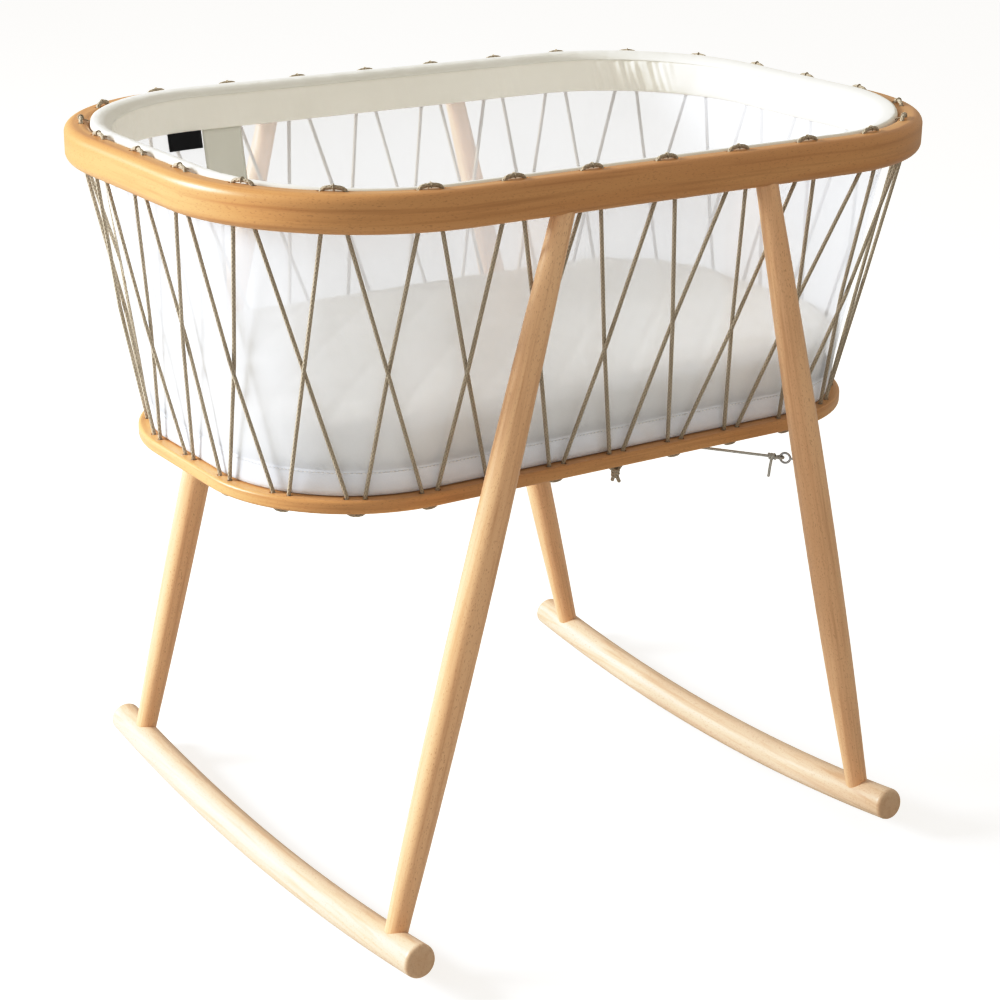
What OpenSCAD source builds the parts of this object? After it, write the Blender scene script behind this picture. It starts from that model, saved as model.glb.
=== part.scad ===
// Rocking cradle: a laced basket hung in a bentwood hoop, on four turned legs and two rockers.
// Millimetres. +Z up, +X along the basket. The origin is on the floor under the middle.

/* [Top hoop] */
// Length of the top hoop over its outside
hoop_length = 840; // [720:10:1020]
// Width of the top hoop over its outside
hoop_width = 574; // [490:2:690]
// Height of the hoop's top face above the floor
hoop_top_z = 761; // [640:1:915]
// Outside radius of the hoop's corners in plan
hoop_corner_r = 202; // [150:1:235]
// Depth of the hoop's section, top face to bottom face
hoop_h = 36; // [30:1:44]
// Thickness of the hoop's section, inside to outside
hoop_t = 26; // [22:1:32]
// Radius of the hoop's long edges
hoop_edge_r = 9; // [5:0.5:10]
// Distance from the hoop's outside to the line of lacing holes
hoop_hole_inset = 17; // [14:0.5:18]

/* [Bottom ring] */
// Length of the bottom ring over its outside
ring_length = 740; // [620:10:840]
// Width of the bottom ring over its outside
ring_width = 432; // [370:2:520]
// Outside radius of the ring's corners in plan
ring_corner_r = 156; // [120:1:180]
// Height of the ring's top face above the floor
ring_top_z = 459; // [390:1:550]
// Depth of the ring's section
ring_h = 13; // [11:0.5:18]
// Thickness of the ring's section, inside to outside
ring_t = 24; // [21:0.5:30]
// Radius of the ring's outer long edges
ring_edge_r = 3; // [1:0.5:5]
// Distance from the ring's outside to the line of lacing holes
ring_hole_inset = 9; // [8:0.5:10]

/* [Lacing] */
// Number of lacing places round the basket, an even number
lacing_n = 28; // [20:2:32]
// Diameter of the lacing cord
cord_d = 4; // [3:0.1:5]
// Distance between the two holes of a pair in the hoop
hoop_pair = 24; // [18:0.5:30]
// Distance between the two holes of a pair in the ring
ring_pair = 18; // [14:0.5:24]
// Gap between the cord and the wall of its hole, all round
hole_gap = 1; // [0.8:0.1:1.5]

/* [Base board and mattress] */
// Thickness of the plywood base board
board_t = 6; // [4:0.5:8]
// Width of the ledge in the ring that carries the board
ledge_w = 8; // [6:0.5:11]
// Gap between the board's edge and the ring's rebate
board_gap = 0.5; // [0.3:0.1:1]
// Number of board screws
board_screws_n = 8; // [4:2:12]
// Shank diameter of a board screw
board_screw_d = 3; // [2.5:0.5:3.5]
// Thickness of the mattress
mattress_t = 80; // [50:1:100]
// Gap between the mattress and the liner, all round
mattress_gap = 3; // [1:0.5:8]
// Thickness of the mattress cover
cover_t = 2; // [1:0.5:3]

/* [Liner] */
// Thickness of the mesh fabric
mesh_t = 1.2; // [0.8:0.1:2]
// Height of the padded rim, from its top edge to its lower edge
rim_h = 47; // [30:1:70]
// Width of the rim across its top
rim_w = 19; // [12:0.5:26]
// How far the rim's top falls from its outer edge to its inner edge
rim_fall = 5.5; // [0:0.5:9]
// Height of the liner's top edge above the hoop
liner_rise = 7.5; // [7.5:0.5:14]
// Thickness of the binding over the rim's top
binding_t = 1.6; // [1:0.1:3]
// Depth of the binding where it turns down over the rim's outer edge
binding_lip = 7; // [6:0.5:12]
// Height of the hem tape along the bottom
hem_h = 27; // [12:1:34]
// Thickness of the hem tape
hem_t = 0.6; // [0.4:0.1:1]
// Distance from the ring's hole line to the outside of the liner's foot
liner_foot_in = 5; // [4:0.5:7]
// Gap between the hoop's inside and the liner
liner_hoop_gap = 0.6; // [0.4:0.1:2]
// Diameter of the cord of the small hanging loops
loop_d = 1.4; // [1:0.1:1.8]

/* [Labels] */
// Distance of the small label from the middle of the back, round the liner
small_label_at = 233; // [120:1:260]
// Width of the small label
small_label_w = 41; // [20:1:50]
// Drop of the small label below the rim
small_label_h = 18; // [10:1:40]
// Distance of the care label from the middle of the back, round the liner
care_label_at = 188; // [100:1:190]
// Width of the care label
care_label_w = 46; // [20:1:60]
// Drop of the care label below the rim
care_label_h = 62; // [20:1:90]
// Thickness of the small label's folded tape
label_t = 0.8; // [0.4:0.1:1.2]

/* [Legs] */
// Leg top's place along the hoop, in lacing pitches from the middle of the long side
leg_top_pitches = 1.4; // [1.35:0.01:1.6]
// Distance between the left and the right feet, centre to centre
foot_span_x = 594; // [500:1:690]
// Distance between the front and the back feet, centre to centre
foot_span_y = 542; // [460:1:590]
// Diameter of a leg at its top
leg_top_d = 21; // [19:0.5:24]
// Largest diameter of a leg
leg_mid_d = 32; // [27:0.5:38]
// Diameter of a leg at its foot
leg_foot_d = 22.5; // [20:0.5:26]

/* [Rockers] */
// Length of a rocker across the cradle, along the middle of the rod
rocker_length = 644; // [600:1:760]
// Diameter of the rocker's rod
rod_d = 34; // [28:0.2:41]
// Radius of the rocker's curve, to the middle of the rod
rocker_r = 2320; // [1950:10:2780]
// Radius of the rounding round the rocker's ends
rod_end_r = 5; // [2:0.5:7]

/* [Fasteners and ties] */
// Diameter of the hanger bolts that hold the legs to the hoop
hanger_d = 8; // [6:1:8]
// Diameter of the bolts that hold the legs to the rockers
foot_bolt_d = 6; // [5:1:6]
// Head diameter of the foot bolts
foot_head_d = 11; // [9:0.5:12]
// Diameter of the tie cords under the base
tie_d = 3; // [2.5:0.1:4]
// Wire diameter of the screw eyes that hold the ties
eye_wire_d = 2.4; // [2:0.1:3]

/* [Hidden] */

snug = 0.05;            // clearance between a fastener and its wood or metal
label_gap = 1.1;        // gap between a label and the mesh
eye_shank = 9;          // depth of a screw eye's shank in its leg
beyond = 2000;          // larger than anything here, for cuts that take all on one side
beech = "burlywood";
plan_fn = 96;           // facets of a full turn in plan
small_fn = 24;          // facets of a full turn on small parts

// Half length, half width and corner radius of the two lines of lacing holes
hoop_line = [hoop_length / 2, hoop_width / 2, hoop_corner_r] - hoop_hole_inset * [1, 1, 1];
ring_line = [ring_length / 2, ring_width / 2, ring_corner_r] - ring_hole_inset * [1, 1, 1];
hoop_bottom_z = hoop_top_z - hoop_h;
ring_bottom_z = ring_top_z - ring_h;
hoop_inside = hoop_t - hoop_hole_inset;
hole_d = cord_d + 2 * hole_gap;
pass_rise = cord_d / 2 + loop_d + 0.8;

// Liner: its outside outline at the floor and at the top edge
liner_foot_z = ring_top_z + 0.2;
liner_top_z = hoop_top_z + liner_rise;
floor_t = 1;
wall_in = 0.6;          // how much further in than the rim's edge the wall would reach the top
liner_foot_line = ring_line - liner_foot_in * [1, 1, 1];
liner_top_line = hoop_line - (hoop_inside + liner_hoop_gap + wall_in) * [1, 1, 1];

// Padded rim: distances are measured outwards from the hoop's hole line
rim_bottom_z = liner_top_z - rim_h;
rim_outer = -(hoop_inside + liner_hoop_gap);
rim_inner = rim_outer - rim_w;
wall_share = (rim_bottom_z - liner_foot_z) / (liner_top_z - liner_foot_z);
wall_line = liner_foot_line * (1 - wall_share) + liner_top_line * wall_share;
wall_off = wall_line - hoop_line;
rim_foot_outer = max(wall_off[0], wall_off[1]) + 0.5;
rim_foot_inner = min(wall_off[0], wall_off[1]) - mesh_t - 1.5;

// Base board
board_line = ring_line - (ring_t - ring_hole_inset - ledge_w + board_gap) * [1, 1, 1];
board_bottom_z = ring_top_z - board_t;
ledge_h = ring_h - board_t;

// Mattress
mattress_bottom_z = liner_foot_z + floor_t + 0.4;
mattress_top_z = mattress_bottom_z + mattress_t;

// Legs, given for the quarter at +X and +Y
hoop_pitch = outline_length(hoop_line) / lacing_n;
ring_pitch = outline_length(ring_line) / lacing_n;
leg_head = [leg_top_pitches * hoop_pitch, hoop_width / 2 - hoop_t / 2, hoop_bottom_z];
rod_r = rod_d / 2;
rod_lift = rocker_r - sqrt(pow(rocker_r, 2) - pow(foot_span_y / 2, 2));
leg_foot = [foot_span_x / 2, foot_span_y / 2, rod_r + rod_lift];
leg_axis = leg_head - leg_foot;
leg_len = norm(leg_axis);
leg_start = rod_r / 3;
leg_over = leg_top_d / 2 * tan(acos(leg_axis[2] / leg_len)) + hoop_edge_r + 2;

// Leg hardware, measured along the leg's axis from the middle of the rod
foot_head_h = 4;
foot_head_seat = -(rod_r - foot_head_h - 3);
foot_insert_from = rod_r + 3;
foot_insert_len = 14;
foot_insert_wall = 1.5;
foot_bolt_end = foot_insert_from + foot_insert_len - 1;
hanger_in_leg = 32;
hoop_insert_len = 17;
hoop_insert_wall = 1.5;

// Lacing cord: rises from its hole, then runs level across to the next hole
pass_steps = [[0, 0], [0.3, 0.62], [1.25, 1]];
lace_sides = 6;
lace_apart = cord_d / 2 + 0.4;
back_knot_at = 1;
front_knot_at = lacing_n / 2;
knot_d = 2.3 * cord_d;
knot_h = 2.8 * cord_d;

// Ties
tie_z = ring_bottom_z - pass_rise - cord_d / 2 - tie_d / 2 - 1;
tie_step = tie_d + 0.4;
eye_r = eye_wire_d / 2 + 4;
eye_reach = eye_r + 3;
tie_loop_r = eye_wire_d / 2 + tie_d / 2 + 0.5;
tie_knot_len = 3 * tie_d;
tie_knot_r = 1.25 * tie_d;
tie_tail = 7 * tie_d;

// ---------------------------------------------------------------- outlines and routes

// Length once round a rounded rectangle, given as [half length, half width, corner radius]
function outline_length(o) = 4 * (o[0] - o[2]) + 4 * (o[1] - o[2]) + 2 * PI * o[2];

// Point and outward direction in the quarter from the middle of +Y to the middle of +X
function quarter_at(o, s) =
    let (straight = o[0] - o[2], arc = PI / 2 * o[2], turn = (s - straight) / o[2] * 180 / PI)
    s <= straight ? [s, o[1], 0, 1]
    : s <= straight + arc
        ? [straight + o[2] * sin(turn), o[1] - o[2] + o[2] * cos(turn), sin(turn), cos(turn)]
    : [o[0], o[1] - o[2] - (s - straight - arc), 1, 0];

// Point and outward direction at distance s, clockwise from the middle of the +Y side
function outline_at(o, s) =
    let (
        all = outline_length(o),
        u = s - floor(s / all) * all,
        q = floor(4 * u / all),
        p = quarter_at(o, q == 0 ? u : q == 1 ? all / 2 - u : q == 2 ? u - all / 2 : all - u)
    )
    q == 0 ? p
    : q == 1 ? [p[0], -p[1], p[2], -p[3]]
    : q == 2 ? -p
    : [-p[0], p[1], -p[2], p[3]];

// Outline of the liner's outside at height z, brought in by an amount
function liner_line(z, in = 0) =
    let (t = (z - liner_foot_z) / (liner_top_z - liner_foot_z))
    liner_foot_line * (1 - t) + liner_top_line * t - in * [1, 1, 1];

// One route point: place along an outline, height, distance outwards, and outward direction
function route_point(o, s, z, out = 0) =
    let (p = outline_at(o, s)) [p[0] + out * p[2], p[1] + out * p[3], z, p[2], p[3]];

// The cord's way over the hoop (up = 1) or under the ring (up = -1) between two holes of a pair
function pass_points(o, s, pair, z_in, z_out, up) = concat(
    [route_point(o, s - pair / 2, z_in)],
    [for (k = pass_steps) route_point(o, s - pair / 2 + k[0] * cord_d, z_out + up * k[1] * pass_rise)],
    [for (i = [len(pass_steps) - 1 : -1 : 0])
        route_point(o, s + pair / 2 - pass_steps[i][0] * cord_d, z_out + up * pass_steps[i][1] * pass_rise)],
    [route_point(o, s + pair / 2, z_in)]
);

// Middle of the gap between the lines a0-a1 and b0-b1, where they pass closest
function between_lines(a0, a1, b0, b1) =
    let (
        u = a1 - a0, v = b1 - b0, w = a0 - b0,
        uu = u * u, uv = u * v, vv = v * v, uw = u * w, vw = v * w,
        whole = uu * vv - uv * uv,
        on_a = (uv * vw - vv * uw) / whole,
        on_b = (uu * vw - uv * uw) / whole
    )
    (a0 + on_a * u + b0 + on_b * v) / 2;

// Crossing of the two strands between places k and k + 1, moved outwards or inwards to clear
function crossing(k, out) =
    let (
        hoop_s = [k * hoop_pitch + hoop_pair / 2, (k + 1) * hoop_pitch - hoop_pair / 2],
        ring_s = [k * ring_pitch + ring_pair / 2, (k + 1) * ring_pitch - ring_pair / 2],
        hoop_p = [for (s = hoop_s) let (p = outline_at(hoop_line, s)) [p[0], p[1], hoop_bottom_z]],
        ring_p = [for (s = ring_s) let (p = outline_at(ring_line, s)) [p[0], p[1], ring_top_z]],
        middle = between_lines(hoop_p[0], ring_p[1], hoop_p[1], ring_p[0]),
        across = unit(cross(ring_p[1] - hoop_p[0], ring_p[0] - hoop_p[1])),
        plan = outline_at(hoop_line, (k + 0.5) * hoop_pitch),
        sign = across[0] * plan[2] + across[1] * plan[3] < 0 ? -1 : 1,
        p = middle + out * sign * across
    )
    [p[0], p[1], p[2], plan[2], plan[3]];

// Whole route of one lace: over the hoop at place k, under the ring at place k + 1, and so on
function lace_route(first, out) = [
    for (k = [first : 2 : lacing_n - 1])
        each concat(
            pass_points(hoop_line, k * hoop_pitch, hoop_pair, hoop_bottom_z, hoop_top_z, 1),
            [crossing(k, out)],
            pass_points(ring_line, (k + 1) * ring_pitch, ring_pair, ring_top_z, ring_bottom_z, -1),
            [crossing(k + 1, out)]
        )
];

function unit(v) = v / norm(v);

// Ring of points round route point i; the outward direction keeps the rings from twisting
function lace_ring(route, i, r) =
    let (
        n = len(route),
        here = route[i],
        before = route[(i + n - 1) % n],
        after = route[(i + 1) % n],
        p = [here[0], here[1], here[2]],
        t = unit(unit([after[0], after[1], after[2]] - p) + unit(p - [before[0], before[1], before[2]])),
        out = [here[3], here[4], 0],
        u = unit(out - (out * t) * t),
        v = cross(t, u)
    )
    [for (k = [0 : lace_sides - 1])
        p + r * (cos(360 * k / lace_sides) * u + sin(360 * k / lace_sides) * v)];

// ---------------------------------------------------------------- shared modules

// Draws its child's section round a whole outline; the section's +X points outwards
module around(o) {
    for (sx = [0, 1], sy = [0, 1])
        mirror([sx, 0, 0]) mirror([0, sy, 0])
            translate([o[0] - o[2], o[1] - o[2], 0])
                rotate_extrude(angle = 90, $fn = plan_fn) translate([o[2], 0]) children();
    for (sy = [0, 1])
        mirror([0, sy, 0])
            translate([-(o[0] - o[2]), o[1], 0])
                rotate([90, 0, 90]) linear_extrude(2 * (o[0] - o[2])) children();
    for (sx = [0, 1])
        mirror([sx, 0, 0])
            translate([o[0], o[1] - o[2], 0])
                rotate([90, 0, 0]) linear_extrude(2 * (o[1] - o[2])) children();
}

// Section with round corners, from x0 to x1 and from 0 up to h
module round_section(x0, x1, h, r) {
    translate([x0 + r, 0]) square([x1 - x0 - 2 * r, h]);
    translate([x0, r]) square([x1 - x0, h - 2 * r]);
    for (x = [x0 + r, x1 - r], y = [r, h - r]) translate([x, y]) circle(r, $fn = 48);
}

// Flat plate of an outline
module plate(o, h, fn = plan_fn) {
    linear_extrude(h) {
        square([2 * o[0], 2 * (o[1] - o[2])], center = true);
        square([2 * (o[0] - o[2]), 2 * o[1]], center = true);
        for (x = [-1, 1], y = [-1, 1])
            translate([x * (o[0] - o[2]), y * (o[1] - o[2])]) circle(o[2], $fn = fn);
    }
}

// Solid that fills the liner's outside outline between two heights
module liner_fill(z0, z1, in) {
    skin = 0.01;
    hull() {
        translate([0, 0, z0]) plate(liner_line(z0, in), skin, 64);
        translate([0, 0, z1 - skin]) plate(liner_line(z1, in), skin, 64);
    }
}

// One belt of the liner's wall, with its outside set out by an amount
module liner_belt(z0, z1, t, out = 0) {
    difference() {
        liner_fill(z0, z1, -out);
        liner_fill(z0 - 1, z1 + 1, t - out);
    }
}

// Vertical holes for the lacing cord, through everything between z0 and z1
module lacing_holes(o, pitch, pair, z0, z1) {
    for (k = [0 : lacing_n - 1], side = [-1, 1]) {
        p = outline_at(o, k * pitch + side * pair / 2);
        translate([p[0], p[1], z0]) cylinder(d = hole_d, h = z1 - z0, $fn = small_fn);
    }
}

// Puts its child in the quarter given by the two signs
module in_quarter(sx, sy) {
    mirror([sx < 0 ? 1 : 0, 0, 0]) mirror([0, sy < 0 ? 1 : 0, 0]) children();
}

// Puts its child at the foot of the +X +Y leg, with +Z along the leg's axis
module on_leg_axis() {
    translate(leg_foot)
        rotate([0, acos(leg_axis[2] / leg_len), atan2(leg_axis[1], leg_axis[0])])
            children();
}

module all_quarters() {
    for (sx = [-1, 1], sy = [-1, 1]) in_quarter(sx, sy) children();
}

// ---------------------------------------------------------------- hoop, ring and board

// The hoop before it is bored
module hoop_blank() {
    translate([0, 0, hoop_bottom_z])
        around(hoop_line) round_section(-hoop_inside, hoop_hole_inset, hoop_h, hoop_edge_r);
}

module top_hoop() {
    color(beech)
    difference() {
        hoop_blank();
        lacing_holes(hoop_line, hoop_pitch, hoop_pair, hoop_bottom_z - 1, hoop_top_z + 1);
        all_quarters() hoop_insert_bore();
    }
}

module hoop_insert_bore() {
    on_leg_axis()
        translate([0, 0, leg_len - 8])
            cylinder(r = hanger_d / 2 + hoop_insert_wall + snug, h = hoop_insert_len + 9, $fn = small_fn);
}

module bottom_ring() {
    ring_inside = ring_t - ring_hole_inset;
    color(beech)
    difference() {
        translate([0, 0, ring_bottom_z])
            around(ring_line) difference() {
                round_section(-ring_inside, ring_hole_inset, ring_h, ring_edge_r);
                translate([-ring_inside - 1, ledge_h]) square([ledge_w + 1, board_t + 1]);
            }
        lacing_holes(ring_line, ring_pitch, ring_pair, ring_bottom_z - 1, ring_top_z + 1);
        at_board_screws() translate([0, 0, -1])
            cylinder(d = board_screw_d + 0.6, h = ledge_h + 2, $fn = small_fn);
        at_board_screws() translate([0, 0, -0.01])
            cylinder(d1 = 2 * board_screw_d + 0.2, d2 = board_screw_d + 0.2,
                h = board_screw_d / 2, $fn = small_fn);
    }
}

// Places of the board screws: on the ledge, midway between lacing pairs
module at_board_screws() {
    line = board_line - (ledge_w / 2 - board_gap) * [1, 1, 1];
    all = outline_length(line);
    for (k = [0 : board_screws_n - 1]) {
        p = outline_at(line, (k + 0.5) / board_screws_n * all);
        translate([p[0], p[1], ring_bottom_z]) children();
    }
}

module base_board() {
    color("wheat")
    difference() {
        translate([0, 0, board_bottom_z]) plate(board_line, board_t);
        at_board_screws()
            translate([0, 0, ledge_h - 1])
                cylinder(d = board_screw_d + 2 * snug, h = board_t * 0.7 + 1, $fn = small_fn);
    }
}

module board_screws() {
    color("silver")
    at_board_screws() {
        cylinder(d1 = 2 * board_screw_d, d2 = board_screw_d, h = board_screw_d / 2, $fn = small_fn);
        cylinder(d = board_screw_d, h = ledge_h + board_t * 0.6, $fn = small_fn);
    }
}

// ---------------------------------------------------------------- liner

module liner_floor() {
    color("white")
        translate([0, 0, liner_foot_z]) plate(liner_line(liner_foot_z), floor_t);
}

module liner_mesh() {
    color("white", 0.5) liner_belt(liner_foot_z + floor_t, rim_bottom_z, mesh_t);
}

module liner_hem() {
    color("white") liner_belt(liner_foot_z + floor_t, liner_foot_z + hem_h, hem_t, hem_t);
}

// Foam strip in its cotton cover: widest at the top, narrow where the mesh is sewn to it
module padded_rim() {
    color("antiquewhite") around(hoop_line) polygon([
        [rim_outer, liner_top_z - binding_lip],
        [rim_outer - binding_t, liner_top_z - binding_lip],
        [rim_outer - binding_t, liner_top_z - binding_t],
        [rim_inner, liner_top_z - rim_fall - binding_t],
        [rim_foot_inner, rim_bottom_z],
        [rim_foot_outer, rim_bottom_z]
    ]);
}

// Binding over the rim's top, turned down over its outer edge
module liner_binding() {
    color("ivory") around(hoop_line) polygon([
        [rim_outer, liner_top_z - binding_lip],
        [rim_outer, liner_top_z],
        [rim_inner, liner_top_z - rim_fall],
        [rim_inner, liner_top_z - rim_fall - binding_t],
        [rim_outer - binding_t, liner_top_z - binding_t],
        [rim_outer - binding_t, liner_top_z - binding_lip]
    ]);
}

// Small loops, sewn to the binding, that hook over the lacing where it crosses the hoop
module liner_loops() {
    loop_r = cord_d / 2 + loop_d / 2 + 0.3;
    reach = -rim_outer + binding_t / 2;
    color("ivory")
    for (k = [0 : lacing_n - 1]) {
        p = outline_at(hoop_line, k * hoop_pitch);
        translate([p[0], p[1], hoop_top_z + pass_rise])
            rotate([90, 0, atan2(p[3], p[2])]) {
                rotate([0, 0, -90])
                    rotate_extrude(angle = 180, $fn = small_fn)
                        translate([loop_r, 0]) circle(d = loop_d, $fn = 16);
                for (side = [-1, 1])
                    translate([0, side * loop_r, 0]) rotate([0, -90, 0])
                        cylinder(d = loop_d, h = reach, $fn = 16);
            }
    }
}

// Flat label that hangs from the rim's lower edge and leans with the mesh, just inside it
module hanging_label(at, w, h, t) {
    z = [rim_bottom_z - h, rim_bottom_z - 0.2];
    bend = w * w / (8 * liner_line(z[0])[2]);   // depth of the wall's bend over the label's width
    inside = mesh_t + label_gap + bend;
    low = outline_at(liner_line(z[0], inside), -at);
    high = outline_at(liner_line(z[1], inside), -at);
    lean = atan2(norm([high[0] - low[0], high[1] - low[1]]), z[1] - z[0]);
    translate([low[0], low[1], z[0]])
        rotate([0, 0, atan2(low[3], low[2]) - 90])
            rotate([-lean, 0, 0]) translate([-w / 2, -t, 0])
                cube([w, t, (z[1] - z[0]) / cos(lean)]);
}

module small_label() {
    color([0.05, 0.05, 0.05]) hanging_label(small_label_at, small_label_w, small_label_h, label_t);
}

module care_label() {
    color("gainsboro") hanging_label(care_label_at, care_label_w, care_label_h, label_t / 2);
}

// ---------------------------------------------------------------- lacing

module lace(first, out) {
    route = lace_route(first, out);
    n = len(route);
    m = lace_sides;
    points = [for (i = [0 : n - 1]) each lace_ring(route, i, cord_d / 2)];
    faces = [
        for (i = [0 : n - 1], k = [0 : m - 1])
            let (
                a = i * m + k,
                b = i * m + (k + 1) % m,
                c = ((i + 1) % n) * m + (k + 1) % m,
                d = ((i + 1) % n) * m + k
            )
            each [[a, b, c], [a, c, d]]
    ];
    polyhedron(points, faces, convexity = 10);
}

module lace_a() { color("darkkhaki") lace(0, lace_apart); }
module lace_b() { color("darkkhaki") lace(1, -lace_apart); }

// Knot that closes a lace, tight under the ring
module lace_knot(place) {
    p = outline_at(ring_line, place * ring_pitch);
    z = ring_bottom_z - pass_rise + cord_d / 2 - knot_h;
    translate([p[0], p[1], z])
        for (k = [0 : 2])
            translate([0, 0, (k + 0.5) * knot_h / 3])
                rotate_extrude($fn = small_fn) {
                    square([knot_d / 2 - knot_h / 6, knot_h / 3 + 0.01], center = false);
                    translate([knot_d / 2 - knot_h / 6, 0]) circle(knot_h / 6 - 0.001, $fn = 24);
                }
}

module lace_knot_back() { color("darkkhaki") lace_knot(back_knot_at); }
module lace_knot_front() { color("darkkhaki") lace_knot(front_knot_at); }

// ---------------------------------------------------------------- legs and rockers

// Radius of a leg at a share of its length: thin ends, thickest a little above the middle
function leg_radius(t) =
    let (ends = leg_foot_d * (1 - t) + leg_top_d * t)
    (ends + (leg_mid_d - (leg_foot_d + leg_top_d) / 2) * pow(sin(180 * pow(t, 0.92)), 0.9)) / 2;

module leg_spindle() {
    steps = 22;
    from = leg_start;
    to = leg_len + leg_over;
    rotate_extrude($fn = 64)
        polygon(concat(
            [[0, from]],
            [for (i = [0 : steps])
                let (z = from + (to - from) * i / steps)
                [leg_radius(min(1, max(0, (z - rod_r) / (leg_len - rod_r)))), z]],
            [[0, to]]
        ));
}

module leg() {
    color(beech)
    difference() {
        on_leg_axis() leg_spindle();
        // The top is coped to the hoop's rounded underside
        translate([-beyond / 2, -beyond / 2, hoop_bottom_z + hoop_edge_r]) cube(beyond);
        hoop_blank();
        rocker_rod(rod_r + snug);
        on_leg_axis() {
            translate([0, 0, -1])
                cylinder(r = foot_bolt_d / 2 + foot_insert_wall + snug,
                    h = foot_insert_from + foot_insert_len + 1, $fn = small_fn);
            translate([0, 0, leg_len - hanger_in_leg])
                cylinder(r = hanger_d / 2 + snug, h = hanger_in_leg + leg_over, $fn = small_fn);
        }
        tie_shank_bores();
    }
}

// Screw-eye pilot holes in the +X +Y leg, at the heights of both ties
module tie_shank_bores() {
    for (z = [tie_z, tie_z - tie_step])
        at_eye(z) translate([0, 0, -eye_shank - 0.5])
            cylinder(d = eye_wire_d + 2 * snug, h = eye_shank + 2, $fn = small_fn);
}

module leg_front_left() { in_quarter(-1, -1) leg(); }
module leg_front_right() { in_quarter(1, -1) leg(); }
module leg_back_left() { in_quarter(-1, 1) leg(); }
module leg_back_right() { in_quarter(1, 1) leg(); }

// Bent rod of the +X rocker, of a given radius
module rocker_rod(r) {
    half = asin((rocker_length / 2 - rod_end_r) / rocker_r);
    translate([foot_span_x / 2, 0, rocker_r + rod_r]) rotate([0, 90, 0])
        rotate([0, 0, -half])
            rotate_extrude(angle = 2 * half, $fn = 360) translate([rocker_r, 0]) circle(r, $fn = 64);
}

// Rounded end of the rod
module rod_end() {
    rotate_extrude($fn = 64) {
        square([rod_r - rod_end_r, rod_end_r]);
        translate([rod_r - rod_end_r, 0]) intersection() {
            circle(rod_end_r, $fn = 48);
            square(rod_end_r);
        }
    }
}

module rocker() {
    half = asin((rocker_length / 2 - rod_end_r) / rocker_r);
    color(beech)
    difference() {
        union() {
            rocker_rod(rod_r);
            translate([foot_span_x / 2, 0, rocker_r + rod_r]) rotate([0, 90, 0])
                for (side = [-1, 1])
                    rotate([0, 0, side * half]) translate([rocker_r, 0, 0])
                        rotate([-side * 90, 0, 0]) rod_end();
        }
        for (sy = [-1, 1]) in_quarter(1, sy) on_leg_axis() {
            cylinder(d = foot_bolt_d + 0.4, h = 4 * rod_r, center = true, $fn = small_fn);
            translate([0, 0, foot_head_seat - 2 * rod_r])
                cylinder(d = foot_head_d + 0.6, h = 2 * rod_r, $fn = small_fn);
        }
    }
}

module rocker_left() { mirror([1, 0, 0]) rocker(); }
module rocker_right() { rocker(); }

// ---------------------------------------------------------------- leg hardware

// Threaded sleeve, bore r, from z0 up
module sleeve(r, wall, z0, h) {
    translate([0, 0, z0]) difference() {
        cylinder(r = r + wall, h = h, $fn = small_fn);
        translate([0, 0, -1]) cylinder(r = r + snug, h = h + 2, $fn = small_fn);
    }
}

module hoop_inserts() {
    color("goldenrod") all_quarters() on_leg_axis()
        sleeve(hanger_d / 2, hoop_insert_wall, leg_len + 1.5, hoop_insert_len - 1.5);
}

module hanger_bolts() {
    color("silver") all_quarters() on_leg_axis()
        translate([0, 0, leg_len - hanger_in_leg + 1])
            cylinder(d = hanger_d, h = hanger_in_leg + hoop_insert_len - 2, $fn = small_fn);
}

module foot_inserts() {
    color("goldenrod") all_quarters() on_leg_axis()
        sleeve(foot_bolt_d / 2, foot_insert_wall, foot_insert_from, foot_insert_len - 0.5);
}

module foot_bolts() {
    color("silver") all_quarters() on_leg_axis() {
        translate([0, 0, foot_head_seat - foot_head_h]) difference() {
            cylinder(d = foot_head_d, h = foot_head_h, $fn = small_fn);
            translate([0, 0, -1]) cylinder(d = foot_bolt_d * 0.75, h = foot_head_h * 0.6 + 1, $fn = 6);
        }
        translate([0, 0, foot_head_seat - 0.5])
            cylinder(d = foot_bolt_d, h = foot_bolt_end - foot_head_seat, $fn = small_fn);
    }
}

// ---------------------------------------------------------------- ties under the base

// Point on the +X +Y leg's axis at height z
function leg_point(z) = leg_foot + leg_axis * (z - leg_foot[2]) / leg_axis[2];

function leg_radius_at(z) =
    leg_radius(((z - leg_foot[2]) / leg_axis[2] * leg_len - rod_r) / (leg_len - rod_r));

// Puts its child on the +X +Y leg's surface at height z, with +Z towards the cradle's middle
module at_eye(z) {
    p = leg_point(z);
    d = -unit([p[0], p[1]]);
    r = leg_radius_at(z) + 0.3;
    translate([p[0] + r * d[0], p[1] + r * d[1], z])
        rotate([0, 90, atan2(d[1], d[0])]) children();
}

// Tie a runs front left to back right, tie b front right to back left, one cord lower
module at_tie_ends(which) {
    signs = which == "a" ? [[-1, -1], [1, 1]] : [[1, -1], [-1, 1]];
    z = which == "a" ? tie_z : tie_z - tie_step;
    for (s = signs) in_quarter(s[0], s[1]) at_eye(z) children();
}

module tie_eyes() {
    color("silver")
    for (which = ["a", "b"]) at_tie_ends(which) {
        translate([0, 0, eye_reach]) rotate([0, 90, 0]) rotate([90, 0, 0])
            rotate_extrude($fn = 32) translate([eye_r, 0]) circle(d = eye_wire_d, $fn = 16);
        translate([0, 0, -eye_shank])
            cylinder(d = eye_wire_d, h = eye_shank + eye_reach - eye_r, $fn = small_fn);
    }
}

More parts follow.
